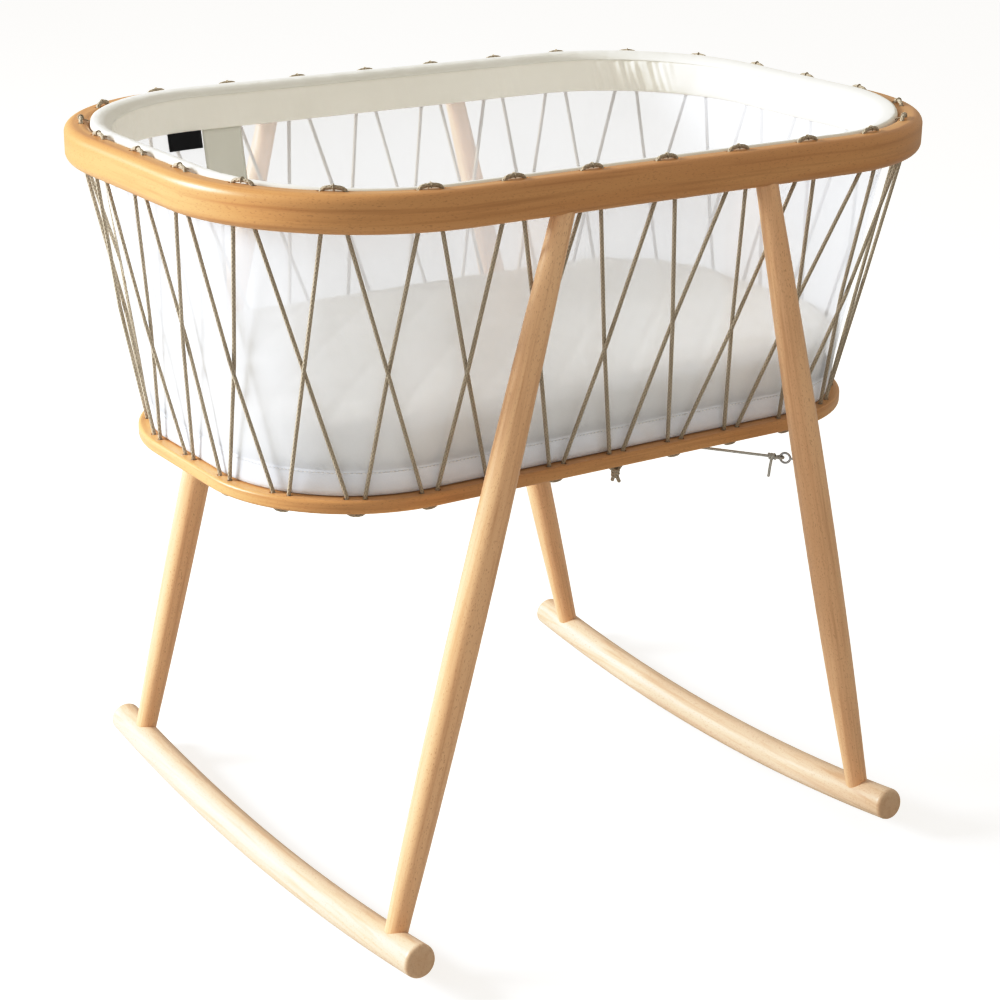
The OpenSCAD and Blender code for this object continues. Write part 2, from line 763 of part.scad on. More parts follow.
// Loop through the eye, the knot that closes it, and the cord's short tail
module tie_knots() {
    color("whitesmoke")
    for (which = ["a", "b"]) at_tie_ends(which) {
        translate([0, 0, eye_reach + eye_r]) rotate([90, 0, 0]) rotate([0, 90, 0])
            rotate_extrude($fn = 32) translate([tie_loop_r, 0]) circle(d = tie_d, $fn = 16);
        translate([0, 0, eye_reach + eye_r + tie_loop_r]) {
            cylinder(r = tie_knot_r, h = tie_knot_len, $fn = small_fn);
            translate([0, 0, tie_knot_len / 2]) rotate([0, 90, 0])
                cylinder(d = tie_d, h = tie_tail, $fn = small_fn);
        }
    }
}

module tie_cord(which) {
    z = which == "a" ? tie_z : tie_z - tie_step;
    p = leg_point(z);
    half = norm([p[0], p[1]]) - leg_radius_at(z) - 0.3
        - eye_reach - eye_r - tie_loop_r - tie_knot_len;
    side = which == "a" ? 1 : -1;
    rotate([0, 0, atan2(p[1], side * p[0])])
        translate([-half, 0, z]) rotate([0, 90, 0])
            cylinder(d = tie_d, h = 2 * half, $fn = 16);
}

module tie_cord_a() { color("whitesmoke") tie_cord("a"); }
module tie_cord_b() { color("whitesmoke") tie_cord("b"); }

// ---------------------------------------------------------------- mattress

// Soft slab that follows the liner's inside, brought in by an amount all round
module mattress_slab(in) {
    skin = 0.01;
    edge = 9;
    gap = mesh_t + mattress_gap + in;
    z0 = mattress_bottom_z + in;
    z1 = mattress_top_z - in;
    hull() {
        translate([0, 0, z0]) plate(liner_line(z0, gap + edge * 0.6), skin, 48);
        translate([0, 0, z0 + edge]) plate(liner_line(z0 + edge, gap), skin, 48);
        translate([0, 0, z1 - edge]) plate(liner_line(z1 - edge, gap), skin, 48);
        translate([0, 0, z1 - skin]) plate(liner_line(z1, gap + edge), skin, 48);
    }
}

module mattress_core() { color("lightyellow") mattress_slab(cover_t + 0.2); }

module mattress_cover() {
    color("floralwhite") difference() {
        mattress_slab(0);
        mattress_slab(cover_t);
    }
}

top_hoop();
bottom_ring();
base_board();
board_screws();
liner_floor();
liner_mesh();
liner_hem();
padded_rim();
liner_binding();
liner_loops();
small_label();
care_label();
lace_a();
lace_b();
lace_knot_back();
lace_knot_front();
leg_front_left();
leg_front_right();
leg_back_left();
leg_back_right();
rocker_left();
rocker_right();
hoop_inserts();
hanger_bolts();
foot_inserts();
foot_bolts();
tie_eyes();
tie_cord_a();
tie_cord_b();
tie_knots();
mattress_core();
mattress_cover();
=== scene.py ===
"""Rocking cradle: finishes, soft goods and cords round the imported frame."""
import logging
import math
from dataclasses import dataclass
from enum import Enum
from typing import Any, Callable, Sequence

import bmesh
import bpy
import numpy as np
from mathutils import Matrix, Vector


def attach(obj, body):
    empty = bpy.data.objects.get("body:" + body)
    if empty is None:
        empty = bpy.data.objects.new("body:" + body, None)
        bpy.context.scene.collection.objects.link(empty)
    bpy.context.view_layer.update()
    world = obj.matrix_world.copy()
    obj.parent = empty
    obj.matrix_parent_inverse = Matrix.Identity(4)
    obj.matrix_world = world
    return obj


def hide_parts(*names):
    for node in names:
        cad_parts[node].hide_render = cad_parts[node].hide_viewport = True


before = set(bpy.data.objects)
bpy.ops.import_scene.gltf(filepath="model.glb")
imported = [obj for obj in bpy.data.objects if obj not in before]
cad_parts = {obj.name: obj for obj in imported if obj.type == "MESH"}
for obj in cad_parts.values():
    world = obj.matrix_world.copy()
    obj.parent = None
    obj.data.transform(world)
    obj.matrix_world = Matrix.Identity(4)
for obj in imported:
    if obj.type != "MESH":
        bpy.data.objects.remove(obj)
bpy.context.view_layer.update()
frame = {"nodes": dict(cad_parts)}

log = logging.getLogger("cradle")

MM = 0.001
TURN = 2 * math.pi
CRADLE = "cradle"
MATTRESS = "mattress"
UV_NAME = "surface"
Colour = tuple[float, float, float]


# ------------------------------------------------------------------ sizes of the frame, in mm

@dataclass(frozen=True)
class Outline:
    """Rounded rectangle in plan: half length, half width and corner radius, in mm."""

    half_length: float
    half_width: float
    corner_r: float

    @property
    def straight_x(self) -> float:
        """Half of the straight run along X."""
        return self.half_length - self.corner_r

    @property
    def straight_y(self) -> float:
        """Half of the straight run along Y."""
        return self.half_width - self.corner_r

    @property
    def length(self) -> float:
        """Length once round."""
        return 4 * (self.straight_x + self.straight_y) + TURN * self.corner_r

    def grown(self, by: float) -> "Outline":
        """The outline moved outwards by an amount, or inwards where it is negative."""
        return Outline(self.half_length + by, self.half_width + by, max(0.5, self.corner_r + by))

    def blended(self, other: "Outline", share: float) -> "Outline":
        """The outline part of the way to another one."""
        return Outline(
            self.half_length + share * (other.half_length - self.half_length),
            self.half_width + share * (other.half_width - self.half_width),
            self.corner_r + share * (other.corner_r - self.corner_r),
        )

    def at(self, s: np.ndarray) -> tuple[np.ndarray, np.ndarray]:
        """Points and outward directions at distances s along the outline.

        A quarter is a straight, a quarter circle and a straight; the other three quarters
        are the same one turned over, taken clockwise from the middle of the +Y side.

        Args:
            s: distances in mm, of any shape.

        Returns:
            Points and unit directions in plan, each with a last axis of two.
        """
        whole = self.length
        s = np.mod(np.asarray(s, float), whole)
        quarter = np.minimum((4 * s / whole).astype(int), 3)
        run = np.choose(quarter, [s, whole / 2 - s, s - whole / 2, whole - s])
        turn = np.clip((run - self.straight_x) / self.corner_r, 0, math.pi / 2)
        past = np.maximum(run - self.straight_x - self.corner_r * math.pi / 2, 0)
        x = np.minimum(run, self.straight_x) + self.corner_r * np.sin(turn)
        y = self.straight_y + self.corner_r * np.cos(turn) - past
        side = np.stack([np.choose(quarter, [1, 1, -1, -1]), np.choose(quarter, [1, -1, -1, 1])], -1)
        return np.stack([x, y], -1) * side, np.stack([np.sin(turn), np.cos(turn)], -1) * side

    def cornering(self, s: np.ndarray) -> np.ndarray:
        """How far a place lies in a corner: 0 on the straights, 1 in the middle of a bend."""
        _, out = self.at(s)
        return 4 * (out[..., 0] * out[..., 1]) ** 2


@dataclass(frozen=True)
class FrameSizes:
    """Sizes of the wooden frame and its lacing, in mm, as the part's own source gives them."""

    hoop: Outline = Outline(403, 270, 185)
    ring: Outline = Outline(361, 207, 147)
    hoop_top: float = 761
    hoop_bottom: float = 725
    ring_top: float = 459
    ring_bottom: float = 446
    places: int = 28
    hoop_pair: float = 24
    ring_pair: float = 18
    cord_d: float = 4
    strand_apart: float = 2.4
    leg_head: tuple[float, float, float] = (118.72, 274, 725)
    leg_foot: tuple[float, float, float] = (297, 271, 32.9)
    leg_top_d: float = 21
    leg_mid_d: float = 32
    leg_foot_d: float = 22.5
    rod_r: float = 17


SIZES = FrameSizes()


# ------------------------------------------------------------------ meshes

def unit(v: np.ndarray) -> np.ndarray:
    """Vectors of length one along the last axis."""
    return v / np.maximum(np.linalg.norm(v, axis=-1, keepdims=True), 1e-12)


def rise(x: np.ndarray, low: float, high: float) -> np.ndarray:
    """Smooth step from 0 at low to 1 at high: three squares less two cubes."""
    t = np.clip((x - low) / (high - low), 0, 1)
    return t * t * (3 - 2 * t)


def grid_mesh(
    name: str, grids: Sequence[np.ndarray], uvs: Sequence[np.ndarray], closed: bool = True
) -> bpy.types.Object:
    """Makes one object from grids of points.

    Each grid has the shape (parts, rows, columns, 3), or (rows, columns, 3) for one part, in mm,
    and its four neighbours make a face. Points that meet at seams and poles are merged.

    Args:
        name: the object's name.
        grids: the grids of points.
        uvs: for each grid the same shape with a last axis of two, in the material's own units.
        closed: whether the shape is closed, so that its faces can be turned outwards.

    Returns:
        The new object, with its place in its mesh.
    """
    points, faces, maps, start = [], [], [], 0
    for grid, uv in zip(grids, uvs):
        grid = grid if grid.ndim == 4 else grid[None]
        uv = np.broadcast_to(uv if uv.ndim == 4 else uv[None], grid.shape[:3] + (2,))
        index = start + np.arange(grid[..., 0].size).reshape(grid.shape[:3])
        faces.append(np.stack([
            index[:, :-1, :-1], index[:, :-1, 1:], index[:, 1:, 1:], index[:, 1:, :-1]
        ], -1).reshape(-1, 4))
        points.append(grid.reshape(-1, 3))
        maps.append(uv.reshape(-1, 2))
        start += grid[..., 0].size
    quads = np.concatenate(faces)
    mesh = bpy.data.meshes.new(name)
    mesh.from_pydata(np.concatenate(points) * MM, [], quads)
    layer = mesh.uv_layers.new(name=UV_NAME)
    layer.data.foreach_set("uv", np.concatenate(maps)[quads.ravel()].ravel())
    work = bmesh.new()
    work.from_mesh(mesh)
    bmesh.ops.remove_doubles(work, verts=work.verts, dist=5e-6)
    if closed:
        bmesh.ops.recalc_face_normals(work, faces=work.faces)
    work.to_mesh(mesh)
    work.free()
    mesh.shade_smooth()
    piece = bpy.data.objects.new(name, mesh)
    bpy.context.scene.collection.objects.link(piece)
    return piece


def tube(
    path: np.ndarray, radius: float | np.ndarray, sides: int, hint: np.ndarray, capped: bool = True
) -> tuple[np.ndarray, np.ndarray]:
    """Round tube along a path: at each point a circle in the plane across the path.

    The circle starts at the hint direction made square to the path, so it doesn't twist. Where
    it is capped, each end has two more rings: a smaller one and one of no size.

    Args:
        path: points in mm, (..., n, 3).
        radius: one radius, or one for each point of the path.
        sides: number of sides.
        hint: direction that is nowhere along the path, (3,) or like the path.
        capped: whether the ends are rounded over.

    Returns:
        Grid of points and its UV: turns round in U, distance along in V over the diameter.
    """
    radius = np.broadcast_to(np.asarray(radius, float), path.shape[:-1])
    ahead = unit(np.gradient(path, axis=-2))
    hint = np.broadcast_to(hint, path.shape)
    if capped:
        first, last = path[..., :1, :], path[..., -1:, :]
        r0, r1 = radius[..., :1], radius[..., -1:]
        a0, a1 = ahead[..., :1, :], ahead[..., -1:, :]
        path = np.concatenate([
            first - 0.55 * r0[..., None] * a0, first - 0.4 * r0[..., None] * a0, path,
            last + 0.4 * r1[..., None] * a1, last + 0.55 * r1[..., None] * a1], -2)
        radius = np.concatenate([0 * r0, 0.65 * r0, radius, 0.65 * r1, 0 * r1], -1)
        ahead = np.concatenate([a0, a0, ahead, a1, a1], -2)
        hint = np.concatenate([hint[..., :1, :]] * 2 + [hint] + [hint[..., -1:, :]] * 2, -2)
    across = unit(hint - (hint * ahead).sum(-1, keepdims=True) * ahead)
    other = np.cross(ahead, across)
    angle = np.linspace(0, TURN, sides + 1)
    circle = (np.cos(angle)[:, None] * across[..., None, :]
              + np.sin(angle)[:, None] * other[..., None, :])
    grid = path[..., None, :] + radius[..., None, None] * circle
    step = np.linalg.norm(np.diff(path, axis=-2), axis=-1)
    along = np.concatenate([0 * step[..., :1], np.cumsum(step, -1)], -1) / (2 * radius.max())
    uv = np.stack(np.broadcast_arrays(angle / TURN, along[..., None]), -1)
    return grid, uv


def evened(path: np.ndarray, step: float, softened: int = 0) -> np.ndarray:
    """A path's points set at even steps along it, then its kinks rounded.

    Args:
        path: points, (n, 3).
        step: distance between the new points.
        softened: how many times each inner point moves to a quarter, half, quarter average.

    Returns:
        The new points.
    """
    run = np.concatenate([[0], np.cumsum(np.linalg.norm(np.diff(path, axis=0), axis=1))])
    where = np.linspace(0, run[-1], max(3, int(run[-1] / step) + 1))
    out = np.stack([np.interp(where, run, path[:, i]) for i in range(3)], -1)
    for _ in range(softened):
        out[1:-1] = (out[:-2] + 2 * out[1:-1] + out[2:]) / 4
    return out


def section_round(
    outline: Outline, s: np.ndarray, section: np.ndarray, shift: np.ndarray | float = 0
) -> np.ndarray:
    """A section carried round an outline: its X goes outwards, its Y goes up.

    Args:
        outline: the outline that it follows.
        s: distances round the outline, (columns,).
        section: the section's points, (rows, 2), or (rows, columns, 2) where it changes.
        shift: extra distance outwards at each point, (rows, columns).

    Returns:
        Grid of points, (rows, columns, 3).
    """
    middle, out = outline.at(s)
    section = section if section.ndim == 3 else section[:, None, :]
    away = section[..., 0] + shift
    plan = middle[None] + away[..., None] * out[None]
    height = np.broadcast_to(section[..., 1:], plan.shape[:2] + (1,))
    return np.concatenate([plan, height], -1)


def stitches(line: np.ndarray, normal: np.ndarray, long: float, wide: float) -> np.ndarray:
    """Short raised stitches, one at each point of a line but the last.

    Each is a five-sided tube from its point towards the next one, arched like half a sine
    above the cloth, and thin at both ends.

    Args:
        line: points on the cloth, (n + 1, 3).
        normal: direction away from the cloth at each point, (n + 1, 3).
        long: length of a stitch.
        wide: its thickness.

    Returns:
        Grid of points, (n, 5, 6, 3).
    """
    t = np.array([0, 0.12, 0.5, 0.88, 1])
    way = unit(np.diff(line, axis=0))
    arch = np.sin(np.pi * t) * wide * 0.35
    path = line[:-1, None] + way[:, None] * (long * t)[:, None] + normal[:-1, None] * arch[:, None]
    radius = np.broadcast_to(np.array([0, 0.4, 0.5, 0.4, 0]) * wide, path.shape[:2])
    grid, _ = tube(path, radius, 5, np.broadcast_to(normal[:-1, None], path.shape), capped=False)
    return grid


def waves(
    seed: int, count: int, shortest: float, longest: float, whole: float
) -> Callable[[np.ndarray], np.ndarray]:
    """Sum of sines whose lengths fit whole times round an outline.

    Args:
        seed: seed of the draws.
        count: number of sines.
        shortest: shortest wave.
        longest: longest wave.
        whole: the outline's length.

    Returns:
        A function of the distance round, from about -1 to 1.
    """
    draw = np.random.default_rng(seed)
    turns = np.round(whole / draw.uniform(shortest, longest, count))
    start = draw.uniform(0, TURN, count)

    def height(s: np.ndarray) -> np.ndarray:
        """The sum at distances s."""
        return np.sin(TURN * s[..., None] / whole * turns + start).sum(-1) / math.sqrt(count)

    return height


# ------------------------------------------------------------------ shader wiring

class Wiring:
    """Short ways to add and join nodes in one tree."""

    def __init__(self, tree: bpy.types.NodeTree) -> None:
        """Keeps the tree."""
        self.tree = tree

    def put(self, socket: bpy.types.NodeSocket, value: Any) -> None:
        """Links a socket, or sets its value.

        Args:
            socket: the input socket.
            value: an output socket, a number, or a vector or colour; a colour may leave out alpha.
        """
        if isinstance(value, bpy.types.NodeSocket):
            self.tree.links.new(value, socket)
        elif isinstance(value, (tuple, list)) and socket.type == "RGBA" and len(value) == 3:
            socket.default_value = (*value, 1.0)
        else:
            socket.default_value = value

    def add(self, kind: str, settings: dict[str, Any] | None = None, **inputs: Any) -> bpy.types.Node:
        """Adds a node.

        Args:
            kind: the node's type, without its leading word.
            settings: the node's own properties.
            **inputs: input sockets by name, with _ for a space.

        Returns:
            The node.
        """
        node = self.tree.nodes.new("ShaderNode" + kind)
        for key, value in (settings or {}).items():
            setattr(node, key, value)
        for key, value in inputs.items():
            self.put(node.inputs[key.replace("_", " ")], value)
        return node

    def math(self, kind: str, *values: Any) -> bpy.types.NodeSocket:
        """A Math node's result."""
        node = self.add("Math", {"operation": kind})
        for socket, value in zip(node.inputs, values):
            self.put(socket, value)
        return node.outputs[0]

    def vector(self, kind: str, *values: Any) -> bpy.types.NodeSocket:
        """A Vector Math node's result."""
        node = self.add("VectorMath", {"operation": kind})
        for socket, value in zip(node.inputs, values):
            self.put(socket, value)
        return node.outputs[0]

    def mix(self, share: Any, first: Any, second: Any) -> bpy.types.NodeSocket:
        """A mix of two colours.

        Args:
            share: the second colour's share, from 0 to 1.
            first: the first colour.
            second: the second colour.

        Returns:
            The mixed colour.
        """
        node = self.add("Mix", {"data_type": "RGBA"})
        sockets = (node.inputs[0], node.inputs[6], node.inputs[7])
        for socket, value in zip(sockets, (share, first, second)):
            self.put(socket, value)
        return node.outputs[2]

    def ramp(
        self, value: Any, low: float, high: float, to_low: float = 0, to_high: float = 1
    ) -> bpy.types.NodeSocket:
        """A value taken from one range to another, held at its ends."""
        node = self.add("MapRange", Value=value, From_Min=low, From_Max=high,
                        To_Min=to_low, To_Max=to_high)
        return node.outputs[0]

    def noise(
        self, place: Any, scale: float, detail: float = 2.0, rough: float = 0.5
    ) -> bpy.types.NodeSocket:
        """Noise from about 0.2 to 0.8."""
        return self.add("TexNoise", Vector=place, Scale=scale, Detail=detail,
                        Roughness=rough).outputs["Fac"]

    def stretched(self, place: Any, scale: tuple[float, float, float]) -> bpy.types.NodeSocket:
        """Place multiplied by a scale for each axis."""
        return self.vector("MULTIPLY", place, scale)


def new_group(
    name: str, inputs: dict[str, str], outputs: dict[str, str]
) -> tuple[bpy.types.NodeTree, Wiring, bpy.types.Node, bpy.types.Node]:
    """Makes an empty shader group.

    Args:
        name: its name.
        inputs: input names with the end of each socket type's name.
        outputs: the same for outputs.

    Returns:
        The group, its wiring, its input node and its output node.
    """
    group = bpy.data.node_groups.new(name, "ShaderNodeTree")
    for way, sockets in (("INPUT", inputs), ("OUTPUT", outputs)):
        for label, kind in sockets.items():
            group.interface.new_socket(label, in_out=way, socket_type="NodeSocket" + kind)
    wiring = Wiring(group)
    return group, wiring, group.nodes.new("NodeGroupInput"), group.nodes.new("NodeGroupOutput")


class SharedEffects:
    """Node groups that more than one finish uses, each built once."""

    def __init__(self) -> None:
        """Builds all the groups."""
        self.grain = self._grain()
        self.round_place = self._round_place()
        self.weave = self._weave()
        self.strands = self._strands()
        self.mottle = self._mottle()

    def use(self, wiring: Wiring, group: bpy.types.NodeTree, **inputs: Any) -> bpy.types.Node:
        """Places a group in a material, with its own values."""
        node = wiring.add("Group", {"node_tree": group})
        for key, value in inputs.items():
            wiring.put(node.inputs[key], value)
        return node

    def _grain(self) -> bpy.types.NodeTree:
        """Beech grain: X runs along the fibres, in metres. Long streaks, a slow figure, and the
        short dark flecks of the rays."""
        group, w, given, out = new_group(
            "grain", {"Place": "Vector"},
            {"Streaks": "Float", "Figure": "Float", "Flecks": "Float", "Relief": "Float"})
        place = given.outputs["Place"]
        bend = w.noise(w.stretched(place, (3, 14, 14)), 1.0, 1.0)
        aside = w.add("CombineXYZ", Y=w.math("MULTIPLY", bend, 0.018)).outputs[0]
        moved = w.vector("ADD", place, aside)
        streaks = w.noise(w.stretched(moved, (5, 210, 210)), 1.0, 3.0, 0.6)
        figure = w.noise(w.stretched(moved, (2.2, 34, 34)), 1.0, 2.0)
        fleck = w.noise(w.stretched(moved, (330, 1500, 900)), 1.0, 1.0)
        thin = w.noise(w.stretched(moved, (30, 1100, 1100)), 1.0, 1.0)
        flecks = w.math("MULTIPLY", w.ramp(fleck, 0.60, 0.70), w.ramp(streaks, 0.35, 0.65, 0.35, 1))
        w.put(out.inputs["Streaks"], w.ramp(streaks, 0.30, 0.70))
        w.put(out.inputs["Figure"], w.ramp(figure, 0.30, 0.70))
        w.put(out.inputs["Flecks"], flecks)
        w.put(out.inputs["Relief"], w.math("SUBTRACT", thin, w.math("MULTIPLY", flecks, 0.5)))
        return group

    def _round_place(self) -> bpy.types.NodeTree:
        """Place round a bent hoop: distance round it, distance out from its corners' centres,
        and height. The quarter's distance is a straight, an arc and a straight; it is turned
        over for the other three quarters, so the only joint is in the middle of the back."""
        group, w, given, out = new_group(
            "round_place", {"Place": "Vector", "Straight X": "Float", "Straight Y": "Float",
                            "Radius": "Float", "Quarter": "Float"}, {"Along": "Vector"})
        split = w.add("SeparateXYZ", Vector=given.outputs["Place"]).outputs
        size_x, size_y = w.math("ABSOLUTE", split[0]), w.math("ABSOLUTE", split[1])
        run_x = w.math("MINIMUM", size_x, given.outputs["Straight X"])
        run_y = w.math("MINIMUM", size_y, given.outputs["Straight Y"])
        past_x, past_y = w.math("SUBTRACT", size_x, run_x), w.math("SUBTRACT", size_y, run_y)
        turn = w.math("ARCTAN2", past_x, past_y)
        rest = w.math("SUBTRACT", given.outputs["Straight Y"], run_y)
        run = w.math("ADD", w.math("ADD", run_x, w.math("MULTIPLY", turn, given.outputs["Radius"])), rest)
        front = w.math("LESS_THAN", split[1], 0.0)
        left = w.math("LESS_THAN", split[0], 0.0)
        half = w.math("MULTIPLY", given.outputs["Quarter"], 2.0)
        run = self._flipped(w, run, half, front)
        run = self._flipped(w, run, w.math("MULTIPLY", half, 2.0), left)
        away = w.math("SQRT", w.math("ADD", w.math("MULTIPLY", past_x, past_x),
                                     w.math("MULTIPLY", past_y, past_y)))
        w.put(out.inputs["Along"], w.add("CombineXYZ", X=run, Y=away, Z=split[2]).outputs[0])
        return group

    @staticmethod
    def _flipped(w: Wiring, run: Any, whole: Any, turned: Any) -> bpy.types.NodeSocket:
        """The run, or the whole less the run where turned is one."""
        back = w.math("SUBTRACT", whole, w.math("MULTIPLY", run, 2.0))
        return w.math("ADD", run, w.math("MULTIPLY", back, turned))

    def _weave(self) -> bpy.types.NodeTree:
        """Plain weave from UV in mm: two sets of threads as rounded ridges, one over the other in
        turn. The height is the larger of the two; the gaps are where both are low."""
        group, w, given, out = new_group(
            "weave", {"Place": "Vector", "Pitch": "Float"}, {"Height": "Float", "Gaps": "Float"})
        scaled = w.add("VectorMath", {"operation": "SCALE"})
        w.put(scaled.inputs[0], given.outputs["Place"])
        w.put(scaled.inputs["Scale"], w.math("DIVIDE", math.pi, given.outputs["Pitch"]))
        split = w.add("SeparateXYZ", Vector=scaled.outputs[0]).outputs
        sin_u, sin_v = w.math("SINE", split[0]), w.math("SINE", split[1])
        cos_u, cos_v = w.math("COSINE", split[0]), w.math("COSINE", split[1])
        over = w.math("MULTIPLY", cos_u, cos_v)
        ridge_u = w.math("ADD", w.math("ABSOLUTE", sin_u), w.math("MULTIPLY", over, 0.5))
        ridge_v = w.math("SUBTRACT", w.math("ABSOLUTE", sin_v), w.math("MULTIPLY", over, 0.5))
        height = w.math("MAXIMUM", ridge_u, ridge_v)
        w.put(out.inputs["Height"], height)
        w.put(out.inputs["Gaps"], w.ramp(height, 0.30, 0.62, 1, 0))
        return group

    def _strands(self) -> bpy.types.NodeTree:
        """Braid or twist on a cord's UV: U is turns round, V is diameters along. Two sets of
        ridges that wind opposite ways, or only one where the second has no strength."""
        group, w, given, out = new_group(
            "strands", {"Place": "Vector", "Round": "Float", "Along": "Float", "Second": "Float"},
            {"Height": "Float", "Valleys": "Float"})
        split = w.add("SeparateXYZ", Vector=given.outputs["Place"]).outputs
        turn = w.math("MULTIPLY", w.math("MULTIPLY", split[0], given.outputs["Round"]), TURN)
        run = w.math("MULTIPLY", w.math("MULTIPLY", split[1], given.outputs["Along"]), TURN)
        one = w.math("SINE", w.math("ADD", turn, run))
        two = w.math("MULTIPLY", w.math("SINE", w.math("SUBTRACT", turn, run)), given.outputs["Second"])
        height = w.math("MAXIMUM", one, two)
        w.put(out.inputs["Height"], height)
        w.put(out.inputs["Valleys"], w.ramp(height, -0.2, 0.75, 1, 0))
        return group

    def _mottle(self) -> bpy.types.NodeTree:
        """Slow change of tone over cloth, wood or metal, and a finer one within it."""
        group, w, given, out = new_group(
            "mottle", {"Place": "Vector", "Scale": "Float"}, {"Tone": "Float", "Fine": "Float"})
        scaled = w.add("VectorMath", {"operation": "SCALE"})
        w.put(scaled.inputs[0], given.outputs["Place"])
        w.put(scaled.inputs["Scale"], given.outputs["Scale"])
        w.put(out.inputs["Tone"], w.ramp(w.noise(scaled.outputs[0], 1.0, 2.0), 0.3, 0.7))
        w.put(out.inputs["Fine"], w.ramp(w.noise(scaled.outputs[0], 9.0, 3.0, 0.6), 0.3, 0.7))
        return group


EFFECTS = SharedEffects()


def new_material(name: str) -> tuple[bpy.types.Material, Wiring, bpy.types.Node]:
    """Makes a material.

    Args:
        name: its name.

    Returns:
        The material, its wiring and its Principled shader.
    """
    material = bpy.data.materials.new(name)
    material.use_nodes = True
    shader = material.node_tree.nodes["Principled BSDF"]
    return material, Wiring(material.node_tree), shader


def dress(piece: bpy.types.Object, material: bpy.types.Material) -> None:
    """Gives all of a piece one material.

    Args:
        piece: the piece, new or from the frame.
        material: the material.
    """
    if piece.material_slots:
        for slot in piece.material_slots:
            slot.material = material
    else:
        piece.data.materials.append(material)


# ------------------------------------------------------------------ finishes

@dataclass(frozen=True)
class Beech:
    """Oiled beech: three tones along the grain, with dark ray flecks."""

    name: str
    pale: Colour = (0.70, 0.42, 0.185)
    middle: Colour = (0.60, 0.315, 0.12)
    deep: Colour = (0.47, 0.225, 0.075)
    fleck: Colour = (0.36, 0.16, 0.055)
    gloss_rough: float = 0.36

    def place(self, w: Wiring) -> bpy.types.NodeSocket:
        """Place in the wood, with X along the grain, in metres."""
        raise NotImplementedError

    def ends(self, w: Wiring) -> bpy.types.NodeSocket | float:
        """Where the end grain shows."""
        return 0.0

    def build(self) -> bpy.types.Material:
        """Makes the material."""
        material, w, shader = new_material(self.name)
        grain = EFFECTS.use(w, EFFECTS.grain, Place=self.place(w)).outputs
        colour = w.mix(grain["Figure"], self.middle, self.pale)
        colour = w.mix(w.math("MULTIPLY", w.ramp(grain["Streaks"], 0.55, 0.0), 0.55), colour, self.deep)
        colour = w.mix(w.math("MULTIPLY", grain["Flecks"], 0.42), colour, self.fleck)
        ends = self.ends(w)
        if not isinstance(ends, float):
            colour = w.mix(w.math("MULTIPLY", ends, 0.55), colour, self.deep)
        w.put(shader.inputs["Base Color"], colour)
        shader.inputs["Coat Weight"].default_value = 0.15
        shader.inputs["Coat Roughness"].default_value = 0.35
        rough = w.math("ADD", self.gloss_rough, w.math("MULTIPLY", grain["Streaks"], 0.12))
        w.put(shader.inputs["Roughness"], rough)
        bump = w.add("Bump", Strength=0.35, Distance=0.0001, Height=grain["Relief"])
        w.put(shader.inputs["Normal"], bump.outputs[0])
        return material


@dataclass(frozen=True)
class BentBeech(Beech):
    """Beech bent round an outline, so that its grain follows the bend."""

    outline: Outline = SIZES.hoop

    def place(self, w: Wiring) -> bpy.types.NodeSocket:
        """Place along the bend."""
        o = self.outline
        where = w.add("TexCoord").outputs["Object"]
        return EFFECTS.use(
            w, EFFECTS.round_place, Place=where, **{
                "Straight X": o.straight_x * MM, "Straight Y": o.straight_y * MM,
                "Radius": o.corner_r * MM, "Quarter": o.length / 4 * MM}).outputs["Along"]


@dataclass(frozen=True)
class StraightBeech(Beech):
    """Beech whose grain runs straight from a point along a direction."""

    start: tuple[float, float, float] = (0, 0, 0)
    along: tuple[float, float, float] = (1, 0, 0)
    end_at: float = 0.0

    def place(self, w: Wiring) -> bpy.types.NodeSocket:
        """Object place turned so that X runs along the piece."""
        turn = Vector(self.along).to_track_quat("X", "Z").to_euler()
        where = w.add("TexCoord").outputs["Object"]
        node = w.add("Mapping", {"vector_type": "TEXTURE"}, Vector=where)
        node.inputs["Location"].default_value = Vector(self.start) * MM
        node.inputs["Rotation"].default_value = turn
        return node.outputs[0]

    def ends(self, w: Wiring) -> bpy.types.NodeSocket | float:
        """The last few millimetres beyond the given distance along Y."""
        if not self.end_at:
            return 0.0
        where = w.add("SeparateXYZ", Vector=w.add("TexCoord").outputs["Object"]).outputs[1]
        return w.ramp(w.math("ABSOLUTE", where), self.end_at * MM, (self.end_at + 4) * MM)


@dataclass(frozen=True)
class Metal:
    """Plated or plain metal with a fine brushed grain."""

    name: str
    colour: Colour
    rough: float

    def build(self) -> bpy.types.Material:
        """Makes the material."""
        material, w, shader = new_material(self.name)
        where = w.add("TexCoord").outputs["Object"]
        tone = EFFECTS.use(w, EFFECTS.mottle, Place=where, Scale=160.0).outputs
        dark = tuple(0.72 * c for c in self.colour)
        w.put(shader.inputs["Base Color"], w.mix(tone["Tone"], dark, self.colour))
        shader.inputs["Metallic"].default_value = 1.0
        w.put(shader.inputs["Roughness"], w.ramp(tone["Fine"], 0, 1, self.rough, self.rough + 0.18))
        bump = w.add("Bump", Strength=0.2, Distance=0.00003, Height=tone["Fine"])
        w.put(shader.inputs["Normal"], bump.outputs[0])
        return material


